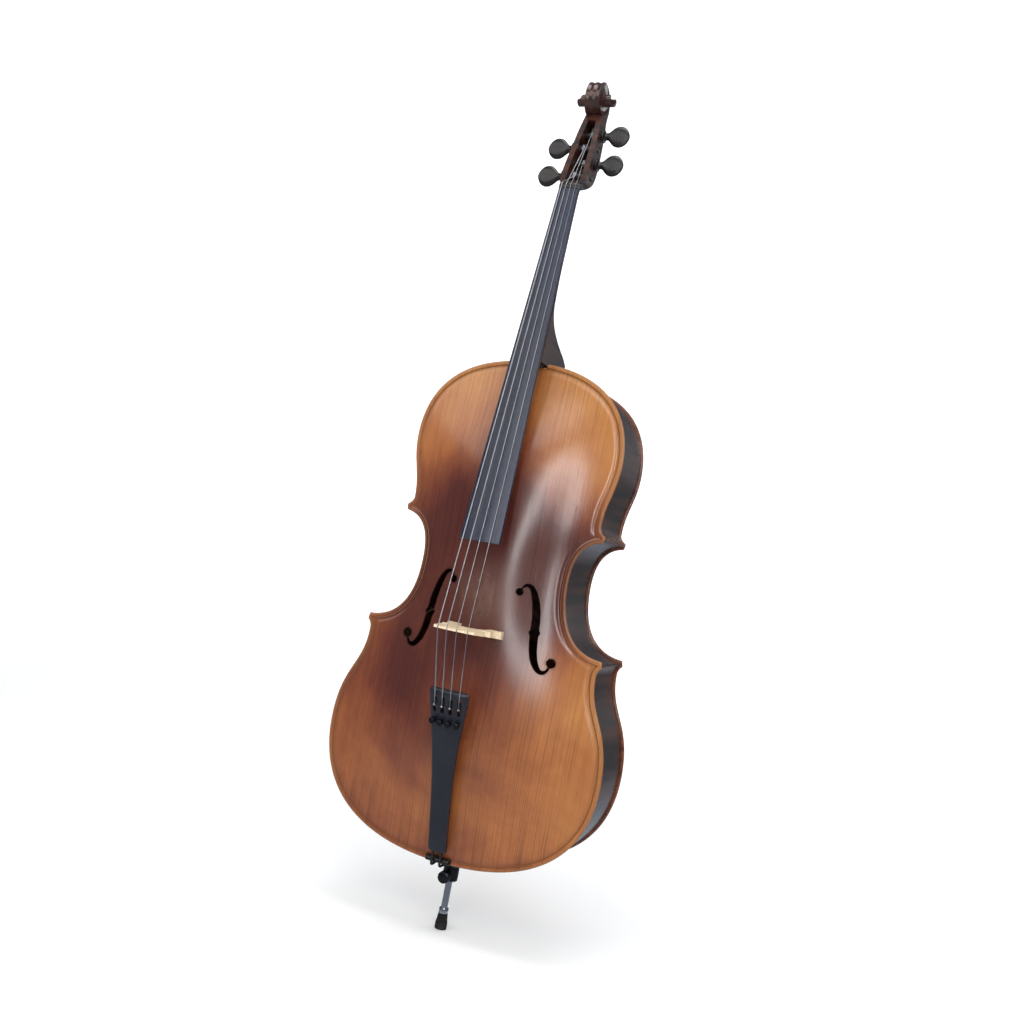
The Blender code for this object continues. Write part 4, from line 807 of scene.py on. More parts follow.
def silk_thread(name, colour):
    m = Shader(name)
    thread = m.bands(scale=900.0, distortion=1.0, detail=2.0, detail_scale=2.0)
    col = m.mix(thread, srgb(*colour), darker(colour, 0.6))
    return m.set(color=col, rough=0.7, normal=m.bump(thread, strength=0.4, distance=0.0002))


def rubber():
    m = Shader("tip_rubber")
    fine = m.noise(500)
    dirt = m.ramp(m.noise(60, detail=4.0), [(0.45, 0.0), (0.8, 0.6)])
    col = m.mix(dirt, srgb(22, 22, 23), srgb(70, 68, 66))
    return m.set(color=col, rough=0.78, spec=0.3,
                 normal=m.bump(fine, strength=0.3, distance=0.0002))


# painted shade: these stops for the ribs and the neck are darker than their varnish and stand in
# for the shade they lie in
DARK_VARNISH_AND_SHADE_STOPS = [(0.0, srgb(26, 14, 11)), (0.35, srgb(38, 20, 15)),
              (0.65, srgb(60, 31, 22)), (1.0, srgb(92, 49, 31))]
BACK_STOPS = [(0.0, srgb(62, 30, 20)), (0.35, srgb(84, 42, 26)),
              (0.65, srgb(110, 58, 34)), (1.0, srgb(140, 80, 46))]
TOP_VARNISH = spruce_varnish()
RIB_VARNISH_AND_SHADE = maple_varnish("varnish_and_shade_maple_ribs", DARK_VARNISH_AND_SHADE_STOPS, flame=8.0, slope=0.5,
                            pore_scale=(420, 16, 420))
BACK_VARNISH = maple_varnish("varnish_maple_back", BACK_STOPS, flame=6.5, slope=0.22, wear=0.7)
NECK_VARNISH_AND_SHADE = maple_varnish("varnish_and_shade_maple_neck", DARK_VARNISH_AND_SHADE_STOPS, flame=6.5, slope=0.1)
BARE_SPRUCE = bare_spruce()
BRIDGE_MAPLE = bridge_maple()
# painted sheen: the board's blue-grey colour stands in for a bluish sheen on the black ebony
BOARD_EBONY_BLUE_SHEEN = ebony("ebony_board_blue_sheen", rough=0.30, dark=(25, 29, 42), light=(48, 54, 74))
TURNED_EBONY = ebony("ebony_turned", rough=0.24, dark=(13, 12, 13), light=(34, 28, 26))
# painted sheen: the slight blue in the tailpiece's black stands in for a bluish sheen
TAIL_PLASTIC = plastic("tailpiece_black", (20, 21, 29), rough=0.30)
LEVER_PLASTIC = plastic("lever_black", (20, 20, 23), rough=0.36)
GUT_PLASTIC = plastic("tailgut_black", (20, 20, 20), rough=0.5)
STEEL = metal("rod_steel", (176, 178, 184), rough=0.24)
CHROME = metal("ring_bright", (226, 227, 230), rough=0.12, strength=0.02)
BLACK_NICKEL = metal("tuner_black_nickel", (58, 58, 62), rough=0.30)
DARK_METAL = metal("collar_black", (66, 66, 70), rough=0.30)
# part of the material set, though no piece wears it
metal("ball_brass", (196, 160, 92), rough=0.30)
RUBBER = rubber()


# ================================================================ plates
# centre line of the right sound hole from its upper end: x, z, half width
F_HOLE = [
    (57.0, 420.5, 1.6), (63.5, 424.0, 2.6), (71.0, 418.5, 4.0), (78.0, 402.0, 5.4),
    (82.8, 380.0, 6.0), (84.6, 358.0, 6.2), (87.0, 336.0, 6.0), (92.5, 317.0, 5.2),
    (101.0, 305.5, 3.8), (109.5, 305.0, 2.6), (114.0, 311.0, 1.8),
]
F_EYE_U, F_EYE_R_U = np.array([53.0, 412.5]), 5.6
F_EYE_L, F_EYE_R_L = np.array([116.5, 319.5]), 7.2
F_NICK_Z, F_NICK = 359.0, 2.6


def f_hole():
    """Outline of the right sound hole."""
    line = spline([row[:2] for row in F_HOLE])
    count = len(F_HOLE)
    half = np.array([monotone(v, np.arange(count), [row[2] for row in F_HOLE])
                     for v in np.linspace(0, count - 1, len(line))])
    t = np.gradient(line, axis=0)
    t /= np.hypot(t[:, 0], t[:, 1])[:, None]
    normal = np.stack([-t[:, 1], t[:, 0]], 1)
    left, right = line + normal * half[:, None], line - normal * half[:, None]
    # small pointed nicks half way down
    i = int(np.argmin(abs(line[:, 1] - F_NICK_Z)))
    left[i] += normal[i] * F_NICK
    right[i] -= normal[i] * F_NICK

    def arc(centre, r, start, stop):
        """The long way round an eye, from start to stop."""
        a0 = math.atan2(*(start - centre)[::-1])
        a1 = math.atan2(*(stop - centre)[::-1])
        while a1 <= a0:
            a1 += 2 * math.pi
        if a1 - a0 < math.pi:
            a1 -= 2 * math.pi
        k = np.linspace(a0, a1, 34)
        return centre + r * np.stack([np.cos(k), np.sin(k)], 1)

    low = arc(F_EYE_L, F_EYE_R_L, right[-1], left[-1])
    high = arc(F_EYE_U, F_EYE_R_U, left[0], right[0])
    return np.vstack([right, low, left[::-1], high])


def edge_round(d):
    q = np.clip(d, 0, EDGE_ROUND)
    return EDGE_ROUND - np.sqrt(np.maximum(EDGE_ROUND ** 2 - (EDGE_ROUND - q) ** 2, 0))


def edge_profile(d):
    """Outer face against the arch near the edge: rounded lip, then a shallow channel."""
    return -edge_round(d) - 1.15 * bell(d, 9.6, 3.3)


# darker patches: gain, x centre and spread, z centre and spread; the spots left of the centre line
# are painted shade over the left half
TONE_AND_SHADE_SPOTS = [
    (0.30, 0, math.inf, 470, 90.0), (0.36, 0, 95.0, 270, 150.0), (0.36, 0, 70.0, 600, 150.0),
    # painted shade: the spots at x centre -125, -115 and -105 darken the left half of the top
    (0.54, -125, 100.0, 285, 110.0), (0.24, -115, 70.0, 555, 70.0),
    (0.25, -105, 125.0, 120, 110.0), (0.23, 0, math.inf, 0, 85.0),
]


def tone_map(x, z):
    """How red and dark the top is coloured (1) against amber (0); the spots left of the centre line
    add painted shade over the left half.
    """
    tone = 0.14 + 0.95 * bell(z, 425, 125.0) * np.exp(-(x / 150.0) ** 4)
    for gain, x0, x_spread, z0, z_spread in TONE_AND_SHADE_SPOTS:
        tone = tone + gain * bell(x, x0, x_spread) * bell(z, z0, z_spread)
    return np.clip(tone, 0, 1)


def top_half():
    """Half outline of the top, notched for the saddle below and the neck above."""
    low = [[0, 9.3], [8, 9.3], [14, 9.3], [20.3, 9.3], [20.3, 5], [20.3, 2], [20.3, 0.55]]
    high = [[24.6, 753.6], [24.6, 750.0], [24.6, 746.7], [16, 746.7], [8, 746.7], [0, 746.7]]
    return np.vstack([low, HALF[HALF[:, 0] > 24.9], high])


def back_half():
    """Half outline of the back, with the round button above it."""
    a = np.linspace(0, math.pi / 2, 22)
    button = np.stack([BUTTON_W * np.cos(a), BODY + 7 + (BUTTON_Z - BODY - 7) * np.sin(a)], 1)
    return np.vstack([HALF[HALF[:, 1] < BODY - 0.6], [[BUTTON_W + 0.2, BODY + 3]], button])


EDGE_RINGS = (0.25, 0.7, 1.3, 2.1, 3.1, 4.4, 5.9, 6.6, 7.3, 8.0, 9.6, 11.2, 13.0, 15.2, 17.6,
              20.2, 23.0)


def plate_points(loop, half, holes, spacing, button):
    """Points inside a plate: rings that follow its edges and a triangular grid between."""
    extra = []
    for d in EDGE_RINGS:
        ring = np.vstack([offset(c, d) for c in (BOUTS[0], CORNERS[0], BOUTS[1], CORNERS[1],
                                                 BOUTS[2])])
        ring = ring[ring[:, 0] > 0.5]
        ring = ring[seg_distance(ring, OUTLINE, True) > 0.985 * d]
        extra += [ring, ring * [-1, 1], [[0, d], [0, BODY - d]]]
    rows = int(BODY / (spacing * 0.866)) + 2
    reach = int(230 / spacing)
    grid = np.array([((i + 0.5 * (j % 2)) * spacing, j * spacing * 0.866)
                     for j in range(rows) for i in range(-reach, reach + 1)])
    grid = grid[inside(grid, OUTLINE)]
    extra.append(grid[seg_distance(grid, OUTLINE, True) > EDGE_RINGS[-1] + 0.55 * spacing])
    if button:
        rim = half[half[:, 1] > BODY + 2]
        centre = np.array([0, BODY + 2.0])
        for k in (0.3, 0.9, 2.0, 4.0, 8.0, 12.0):
            ring = centre + (rim - centre) * (1 - k / BUTTON_W)
            extra += [ring, ring[ring[:, 0] > 0.3] * [-1, 1]]
    for hole in holes:
        normal = normals(np.vstack([hole[-1:], hole, hole[:1]]))[1:-1]
        for d in (1.0, 2.6, 4.8):
            for s in (-1, 1):
                ring = hole + s * d * normal
                ring = ring[~inside(ring, hole) & (seg_distance(ring, hole, True) > 0.97 * d)]
                extra.append(ring[:: 1 if d < 2 else 2])
    extra = np.vstack([np.asarray(e, float).reshape(-1, 2) for e in extra])
    extra = extra[inside(extra, loop) & (seg_distance(extra, loop, True) > 0.2)]
    for hole in holes:
        extra = extra[~inside(extra, hole) & (seg_distance(extra, hole, True) > 0.8)]
    return extra


def plate(name, half, holes, side, rise, spacing):
    """Carved plate on the +y (side 1) or -y (side -1) face of the body.

    Returns it with its outer face's points and triangles.
    """
    back = side > 0
    loop = mirror_close(half)
    edges = []
    count = 0
    for ring in [loop] + holes:
        edges += ring_edges(count, len(ring))
        count += len(ring)
    flat = np.vstack([loop] + holes + [plate_points(loop, half, holes, spacing, back)])
    pts, tris = triangulate(flat, edges, loop, holes)
    used = np.unique(tris)
    remap = -np.ones(len(pts), int)
    remap[used] = np.arange(len(used))
    pts, tris = pts[used], remap[tris]
    d = seg_distance(pts, loop if back else OUTLINE, True)
    if back:
        # the button only counts near the upper end
        far = pts[:, 1] < BODY - 40
        d[far] = seg_distance(pts[far], OUTLINE, True)
    height = rise * arch(pts[:, 0], np.clip(pts[:, 1], 0, BODY))
    n = len(pts)
    outer = np.stack([pts[:, 0], side * (EDGE_Y + height + edge_profile(d)), pts[:, 1]], 1)
    inner = np.stack([pts[:, 0], side * (GLUE_Y + height + edge_round(d)), pts[:, 1]], 1)
    obj = mesh_object(name, np.vstack([outer, inner]), slab_faces(tris, n), 50, merge=False)
    hole_d = np.full(n, 50.0)
    for hole in holes:
        hole_d = np.minimum(hole_d, seg_distance(pts, hole, True))
    tone = tone_map(pts[:, 0], pts[:, 1])
    # the inner face lies at 30 from the edge, so it shows no purfling
    for key, outside, within in (("edge_d", d, np.full(n, 30.0)), ("hole_d", hole_d, hole_d),
                                 ("tone", tone, tone)):
        layer = obj.data.attributes.new(key, "FLOAT", "POINT")
        layer.data.foreach_set("value", np.concatenate([outside, within]).astype(np.float32))
    return obj, outer, tris


F_RIGHT = f_hole()
top, top_points, top_tris = plate("top_plate_carved", top_half(), [F_RIGHT, F_RIGHT * [-1, 1]],
                                  side=-1, rise=ARCH_TOP, spacing=4.4)
dress(top, TOP_VARNISH, "top_plate")
TOP_TREE = BVHTree.FromPolygons([Vector(p) for p in top_points], top_tris.tolist())
back_plate = plate("back_plate_carved", back_half(), [], side=1, rise=ARCH_BACK, spacing=6.4)[0]
dress(back_plate, BACK_VARNISH, "back_plate")


def top_y(x, z):
    """Outer face of the top plate."""
    hit = TOP_TREE.ray_cast(Vector((x, -400.0, z)), Vector((0, 1, 0)))[0]
    return hit.y if hit is not None else -EDGE_Y


# ================================================================ ribs
CURVES = dict(zip(("lower", "c", "upper"), BOUTS))
NEAR = {"lower": ["c"], "c": ["lower", "upper"], "upper": ["c"]}
PLUG_HOLE_R = 13.2
RIB_END_X = 13.4


def rib(which, side, tag):
    base = CURVES[which]
    outer, inner = offset(base, OVERHANG), offset(base, OVERHANG + RIB_T)
    keep = np.ones(len(base), bool)
    for other in NEAR[which]:
        keep &= seg_distance(outer, CURVES[other]) >= OVERHANG + RIB_T - 1.35
    outer, inner = outer[keep], inner[keep]
    if which == "lower":
        outer = np.vstack([[0.05, OVERHANG], outer[1:]])
        inner = np.vstack([[0.05, OVERHANG + RIB_T], inner[1:]])
    if which == "upper":
        # the end runs in under the heel
        ok = outer[:, 0] > 15.0
        outer = np.vstack([outer[ok], [RIB_END_X, BODY - OVERHANG]])
        inner = np.vstack([inner[ok], [RIB_END_X, BODY - OVERHANG - RIB_T]])
    ys = np.linspace(-57.2, 57.2, 9)
    rings = []
    for p, q in zip(outer, inner):
        rings.append([(side * p[0], y, p[1]) for y in ys]
                     + [(side * q[0], y, q[1]) for y in ys[::-1]])
    obj = mesh_object(f"rib_{which}_bent_{tag}", *loft(rings), 40)
    if which == "lower":
        cut(obj, [cutter(lathe([(PLUG_HOLE_R, -6.0), (PLUG_HOLE_R, 30.0)], n=64))], 40)
    dress(obj, RIB_VARNISH_AND_SHADE, f"rib_{which}_{tag}")


for tag, side in (("R", 1), ("L", -1)):
    for which in CURVES:
        rib(which, side, tag)


# ================================================================ fingerboard, nut
def fb_top(z):
    """The fingerboard's playing face on the centre line."""
    return FB_Y0 - FB_SLOPE * (BODY - z)


def fb_half(z):
    return 15.6 + 15.6 * (NUT_Z - z) / (NUT_Z - FB_END)


def fb_bottom(z):
    return fb_top(z) + sag(fb_half(z)) + 6.8


def grooves(x, gap, depth, width):
    """Depth of the string grooves at x."""
    return sum(depth * math.exp(-((x - s * gap) / width) ** 2) for s in STRING_PLACE.values())


def fingerboard():
    """Crowned board, hollowed underneath where it stands clear of the neck."""
    rings = []
    stations = [*np.linspace(FB_END, 750, 26), *np.linspace(753, 764, 8),
                *np.linspace(770, NUT_Z - 0.05, 24)]
    for z in stations:
        w = fb_half(z)
        depth = 8.0 * float(np.clip((762 - z) / 8.0, 0, 1)) ** 0.6
        ring = [(x, fb_top(z) + sag(x), z) for x in np.linspace(-w, w, 33)]
        base = fb_bottom(z)
        ring += [(w - 0.15, base - 3.0, z), (w - 0.8, base, z)]
        inner = w - 4.5
        ring += [(x, base - depth * (1 - (x / inner) ** 2), z)
                 for x in np.linspace(inner, -inner, 17)]
        ring += [(-w + 0.8, base, z), (-w + 0.15, base - 3.0, z)]
        rings.append(ring)
    obj = bevel(mesh_object("fingerboard_ebony", *loft(rings), 30), 0.7, 3, 30)
    dress(obj, BOARD_EBONY_BLUE_SHEEN, "fingerboard")


def nut():
    # height above NUT_Z, rise over the fingerboard
    stations = [(0.0, 0.9), (1, 1.15), (3, 1.3), (5.5, 1.3), (7.5, 0.8), (9, -0.4),
                (NUT_END - 0.1 - NUT_Z, -2.2)]
    rings = []
    w = fb_half(NUT_Z)
    for dz, lift in stations:
        z = NUT_Z + dz
        ring = [(x, fb_top(z) + sag(x) - lift + grooves(x, NUT_GAP, 0.55, 0.75), z)
                for x in np.linspace(-w, w, 61)]
        base = fb_bottom(z)
        rings.append(ring + [(w, base, z), (-w, base, z)])
    obj = bevel(mesh_object("nut_ebony", *loft(rings), 40), 0.4, 2, 45)
    dress(obj, TURNED_EBONY, "nut")


fingerboard()
nut()

# ================================================================ neck and scroll
# heel inside the body's length: z, half width at the front and at the back
HEEL = [(751.3, 23.4, 16.0), (760.0, 23.2, 15.8), (776.8, 22.9, 14.8)]
# neck: z, depth behind the fingerboard, half width at the front and at the back
NECK = [
    (784.0, 131, 22.6, 13.8), (792.0, 112, 22.3, 13.0), (802.0, 88, 22.0, 12.5),
    (814.0, 64, 21.7, 12.5), (828.0, 45, 21.4, 13.0), (848.0, 31.5, 20.8, 13.0),
    (880.0, 25.5, 19.9, 12.0), (940.0, 23.0, 18.2, 10.5), (1000.0, 21.5, 16.6, 9.5),
    (1029.0, 21.5, 15.8, 9.5), (1041.0, 27.0, 15.9, 11.0),
]
# z, y of the back, half widths; starts at the heel's upper end
NECK_STATIONS = [(HEEL[-1][0], RIB_Y, *HEEL[-1][1:])]
NECK_STATIONS += [(z, fb_bottom(z) + GAP + depth, wf, wb) for z, depth, wf, wb in NECK]
# pegbox: z, depth, half width at the front and at the back
BOX = [
    (1041.5, 30.0, 18.0, 15.0), (1048.0, 38.0, 20.6, 19.0), (1058.0, 43.5, 21.2, 20.2),
    (1072.0, 44.5, 20.8, 20.0), (1100.0, 42.0, 19.4, 18.6), (1130.0, 37.5, 17.6, 17.0),
    (1150.0, 34.0, 16.0, 15.4), (1166.0, 31.0, 14.0, 13.4), (1176.0, 29.5, 12.6, 12.0),
    (1184.0, 27.5, 12.0, 11.6), (1190.0, 25.0, 11.6, 11.3),
]
# how square the neck's section is (superellipse power) by z
NECK_POWER = [(752, 7.0), (777, 6.0), (830, 3.2), (900, 2.4), (1041, 2.6)]
BOX_CORNER = [(1041, 12.0), (1048, 11.0), (1058, 8.0), (1080, 5.0), (1150, 4.0), (1176, 2.0),
              (1190, 0.8)]
BOX_END_W = [(1150, 15.4), (1172, 12.0), (1190, 12.0)]


def box_front(z):
    return -44.0 + 0.33 * (z - 1041.0)


# y of the pegbox's back where it meets the scroll
BOX_END_BACK = [(1150, box_front(1150.0) + 34.0), (1158, 27.9), (1166, 29.7), (1176, 31.5),
                (1184, 32.3), (1190, 32.3)]


def flute(v):
    """Two hollows side by side, 0 to 1, across a strip that runs from v = -1 to 1."""
    return math.sin(math.pi * min(1.0, abs(v) * 1.08)) ** 2 if abs(v) < 0.925 else 0.0


def neck_section(z, front, back, wf, wb, power, n=44):
    ring = []
    for j in range(n + 1):
        a = -0.5 * math.pi + math.pi * j / n
        s, c = math.sin(a), math.cos(a)
        d = abs(c) ** (2 / power)
        x = math.copysign(abs(s) ** (2 / power), s)
        ring.append((x * (wf + (wb - wf) * d), front + (back - front) * d, z))
    return ring


def box_section(z, front, back, wf, wb, corner, hollow):
    """Pegbox outline with rounded back corners and flutes down its back; 45 points."""
    left = [(-wf - (wb - wf) * k / 6.5, front + (back - corner - front) * k / 6.5)
            for k in range(7)]
    for k in range(5):
        a = math.pi * (k + 0.5) / 10
        left.append((-wb + corner * (1 - math.cos(a)), back - corner + corner * math.sin(a)))
    middle = []
    for k in range(21):
        v = -1 + k / 10
        middle.append((v * (wb - corner), back - hollow * flute(v)))
    ring = left + middle + [(-x, y) for x, y in left[::-1]]
    return [(x, y, z) for x, y in ring]


def neck_rings():
    rings = []
    for z in [747.0, 751.0, 751.3, *np.linspace(754, 776.8, 8), *np.linspace(778.5, 860, 36),
              *np.linspace(866, 1041, 34)]:
        if z < 751.2:
            back, wf, wb = RIB_Y, 17.0, 17.0
        elif z <= 776.9:
            back, wf, wb = RIB_Y + 0.2, between(z, HEEL, 1), between(z, HEEL, 2)
        else:
            back, wf, wb = (along(z, NECK_STATIONS, k) for k in (1, 2, 3))
        power = 9.0 if z < 752 else between(z, NECK_POWER)
        rings.append(neck_section(z, fb_bottom(z) + 0.05, back, wf, wb, power))
    for z in [*np.linspace(1041.5, 1074, 20), *np.linspace(1078, 1190, 36)]:
        depth, wf, wb = (along(z, BOX, k) for k in (1, 2, 3))
        front = box_front(z)
        back = front + depth
        if z > 1150:
            # the back of the pegbox runs straight into the first turn of the scroll
            back = along(z, BOX_END_BACK)
            wf, wb = max(wf, 12.0), between(z, BOX_END_W)
        if z > 1180:
            front += (z - 1180) * 0.3
        hollow = 1.5 * float(np.clip((z - 1062) / 22.0, 0, 1)) ** 1.5
        rings.append(box_section(z, front, back, wf, wb, along(z, BOX_CORNER), hollow))
    return rings


# half width of the scroll by half turns of the spiral, counted from the outside
SCROLL_WIDTH = [(0, 12.0), (0.5, 11.0), (1.0, 11.4), (1.5, 13.4), (2.0, 17.0), (3.0, 25.0),
                (4.0, 30.6), (5.2, 31.8)]


def scroll_r(t):
    """Spiral radius at angle t: tightening over the first turn, then a plain log spiral."""
    if t <= 2 * math.pi:
        return SCROLL_R * math.exp(-0.0112 * t - 0.0182 * t * t)
    turn = SCROLL_R * math.exp(-0.0112 * 2 * math.pi - 0.0182 * 4 * math.pi ** 2)
    return turn * math.exp(-0.14 * (t - 2 * math.pi))


def scroll_w(t):
    return along(t / math.pi, SCROLL_WIDTH)


def scroll(per=90):
    """Volute as one closed skin: hollowed turns, upright walls between them, fluted outside,
    round eye. per is the number of steps to a turn."""
    total = int(2.5 * per)
    last = total - per       # where the last turn starts
    step = 2 * math.pi / per
    across, outside, dome = 6, 14, 3    # steps over a turn, the outside strip and the eye
    verts, faces = [], []
    made = {}
    eye_w = scroll_w(total * step) + 0.7

    def put_point(key, t, r, x):
        if key not in made:
            a = SCROLL_A0 + t
            verts.append((x, SCROLL_Y + r * math.cos(a), SCROLL_Z + r * math.sin(a)))
            made[key] = len(verts) - 1
        return made[key]

    def turn(s, i, k):
        """Across a turn from its outer edge (k = 0) to the foot of the next wall."""
        t = i * step
        outer, inner = scroll_r(t), scroll_r((i + per) * step)
        f = k / across
        hollow = 0.0
        if 0 < k < across:
            fade = min(1.0, i / (0.15 * per))
            hollow = fade * min(2.6, 0.16 * (outer - inner)) * 4 * f * (1 - f)
        return put_point(("turn", s, i, k), t, outer + (inner - outer) * f,
                         s * (scroll_w(t) - hollow))

    def eye(s, i, k):
        """On the low dome over the last turn, from its edge (k = 0) inward."""
        if k == 0:
            return turn(s, i, 0)
        t = i * step
        f = k / dome
        w = scroll_w(t) + (eye_w - scroll_w(t)) * math.sin(0.5 * math.pi * f)
        return put_point(("eye", s, i, k), t, scroll_r(t) * (1 - f), s * w)

    def strip(i, u):
        """On the outside of the first turn, with two shallow flutes."""
        if u == 0:
            return turn(-1, i, 0)
        if u == outside:
            return turn(1, i, 0)
        t = i * step
        v = 2 * u / outside - 1
        fade = min(1.0, max(0.0, (per - i) / (0.12 * per)))
        return put_point(("strip", i, u), t, scroll_r(t) - 1.5 * flute(v) * fade, v * scroll_w(t))

    for s in (-1, 1):
        for i in range(last):
            for k in range(across):
                faces.append((turn(s, i, k), turn(s, i + 1, k), turn(s, i + 1, k + 1),
                              turn(s, i, k + 1)))
            # wall of the next turn
            faces.append((turn(s, i, across), turn(s, i + 1, across), turn(s, i + 1 + per, 0),
                          turn(s, i + per, 0)))
        centre = put_point(("centre", s), 0, 0, s * eye_w)
        for i in range(last, total):
            for k in range(dome - 1):
                faces.append((eye(s, i, k), eye(s, i + 1, k), eye(s, i + 1, k + 1),
                              eye(s, i, k + 1)))
            faces.append((eye(s, i, dome - 1), eye(s, i + 1, dome - 1), centre))
        # step where the last turn starts
        foot = [turn(s, last, k) for k in range(across + 1)]
        inner = [eye(s, last, k) for k in range(1, dome)] + [centre]
        outer = [eye(s, total, k) for k in range(dome)]
        faces.append(tuple(foot + outer + inner[::-1]))
    for i in range(per - 1):
        for u in range(outside):
            faces.append((strip(i, u), strip(i + 1, u), strip(i + 1, u + 1), strip(i, u + 1)))
    # the strip's end meets the second turn, and its start is capped
    row = [strip(per - 1, u) for u in range(outside + 1)]
    faces.append(tuple(row + [turn(1, per, 0), turn(1, 0, across), turn(-1, 0, across),
                              turn(-1, per, 0)]))
    start = [strip(0, u) for u in range(outside + 1)]
    faces.append(tuple(start + [turn(1, 0, j) for j in range(1, across + 1)]
                       + [turn(-1, 0, j) for j in range(across, 0, -1)]))
    return verts, faces


def peg_axis(z):
    return box_front(z) + 0.46 * between(z, BOX, 1)


def peg_radius(x, side, z):
    return 6.3 + 0.9 * side * x / between(z, BOX, 2)


def box_hollow():
    """The open trough of the pegbox, rounded at its ends and along its floor."""
    rings = []
    for z in np.linspace(1046, 1160, 40):
        w = between(z, BOX, 2) - 8.6
        lo = box_front(z) - 12.0
        hi = box_front(z) + between(z, BOX, 1) - 9.0
        a = min(1.0, (z - 1046) / 9.0)
        b = min(1.0, (1160 - z) / 8.0)
        hi -= (12.0 * (1 - math.sqrt(max(0, 1 - (1 - a) ** 2)))
               + 9.0 * (1 - math.sqrt(max(0, 1 - (1 - b) ** 2))))
        rings.append([(-w, lo, z), (w, lo, z), (w, hi - 2.5, z), (w - 0.8, hi - 0.8, z),
                      (w - 2.5, hi, z), (-w + 2.5, hi, z), (-w + 0.8, hi - 0.8, z),
                      (-w, hi - 2.5, z)])
    return loft(rings)


def neck():
    obj = mesh_object("neck_and_scroll", *loft(neck_rings()), 40)
    tools = [(mesh_object("tool", *scroll(), 40), "UNION"), cutter(box_hollow(), 40)]
    for side, z in PEGS.values():
        y, w = peg_axis(z), between(z, BOX, 2)
        hole = []
        for x in (-w - 4, w + 4):
            r = peg_radius(x * side, side, z) + 0.25
            angles = [2 * math.pi * j / 48 for j in range(48)]
            hole.append([(side * x, y + r * math.cos(a), z + r * math.sin(a)) for a in angles])
        tools.append(cutter(loft(hole)))
    cut(obj, tools, 38)
    dress(obj, NECK_VARNISH_AND_SHADE, "neck_scroll")


neck()

# ================================================================ pegs
# distance past the pegbox's half width, then radius along y and along z
PEG_END = [(-2.0, 4.4, 4.4), (-1.6, 5.1, 5.1), (-0.9, 5.4, 5.4)]   # past the far side
PEG_HEAD = [
    (2.4, 7.1, 7.1), (2.9, 8.6, 8.6), (3.4, 9.6, 9.6), (4.4, 9.9, 9.9), (5.4, 9.6, 9.6),
    (6.0, 8.4, 8.4), (6.6, 7.3, 7.3), (7.4, 6.2, 6.2), (8.8, 5.5, 5.6), (11.0, 5.2, 5.7),
    (13.5, 5.1, 7.0), (17.0, 5.1, 10.6), (21.0, 5.1, 14.2), (26.0, 4.9, 16.6),
    (31.0, 4.75, 17.0), (36.0, 4.5, 15.8), (40.0, 4.2, 13.0), (43.2, 3.6, 9.2),
    (45.0, 2.8, 5.6), (46.0, 1.6, 2.8),
]


def peg(key, side, z):
    y, w = peg_axis(z), between(z, BOX, 2)
    table = [(-w + d, ry, rz) for d, ry, rz in PEG_END] + [(0.0, 6.3, 6.3)]
    table += [(w + d, ry, rz) for d, ry, rz in PEG_HEAD]
    stations = sorted({row[0] for row in table} | set(np.linspace(w + 8.8, w + 46.0, 46)))
    rings = []
    for x in stations:
        ry, rz = along(x, table, 1), along(x, table, 2)
        ring = []
        for j in range(40):
            a = 2 * math.pi * j / 40
            c, s = math.cos(a), math.sin(a)
            # the thumb piece is dished in its flat sides
            flat = float(np.clip((rz - ry) / 9.0, 0, 1))
            dish = 1.0 - 0.20 * max(0.0, 1 - abs(s) * 1.3) * flat
            ring.append((side * x, y + ry * c * dish, z + rz * s))
        rings.append(ring)
    obj = mesh_object(f"peg_{key}_turned", *loft(rings), 40)
    dress(obj, TURNED_EBONY, f"peg_{key}", body=f"peg_{key}")


for key, (side, z) in PEGS.items():
    peg(key, side, z)

# ================================================================ bridge
BASE = float(-(EDGE_Y + ARCH_TOP * arch(0, STOP)[0]))    # y of the top plate under the bridge
BRIDGE_TOP = BASE - BRIDGE_H
# x, distance out from BASE, up the right side from the foot and over the middle arch
BRIDGE_SIDE = [
    (43.6, 5.6), (40.6, 8.6), (36.6, 13.0), (34.8, 21.0), (35.3, 28.0), (37.8, 32.6),
    (38.6, 35.0), (36.2, 37.2), (31.0, 36.4), (26.4, 38.0), (23.9, 42.5), (24.8, 47.0),
    (28.4, 49.6), (32.6, 49.0), (35.2, 51.4), (35.4, 55.0), (33.8, 61.0), (32.4, 68.0),
]
BRIDGE_ARCH = [(23.0, 7.0), (21.6, 16.0), (18.0, 24.5), (11.5, 31.0), (5.0, 34.0)]
BRIDGE_CROWN_OUT = 34.8


def bridge_top(x):
    return BRIDGE_TOP + sag(x, BRIDGE_R)


def foot_point(x):
    return x, top_y(x, STOP) - 0.15


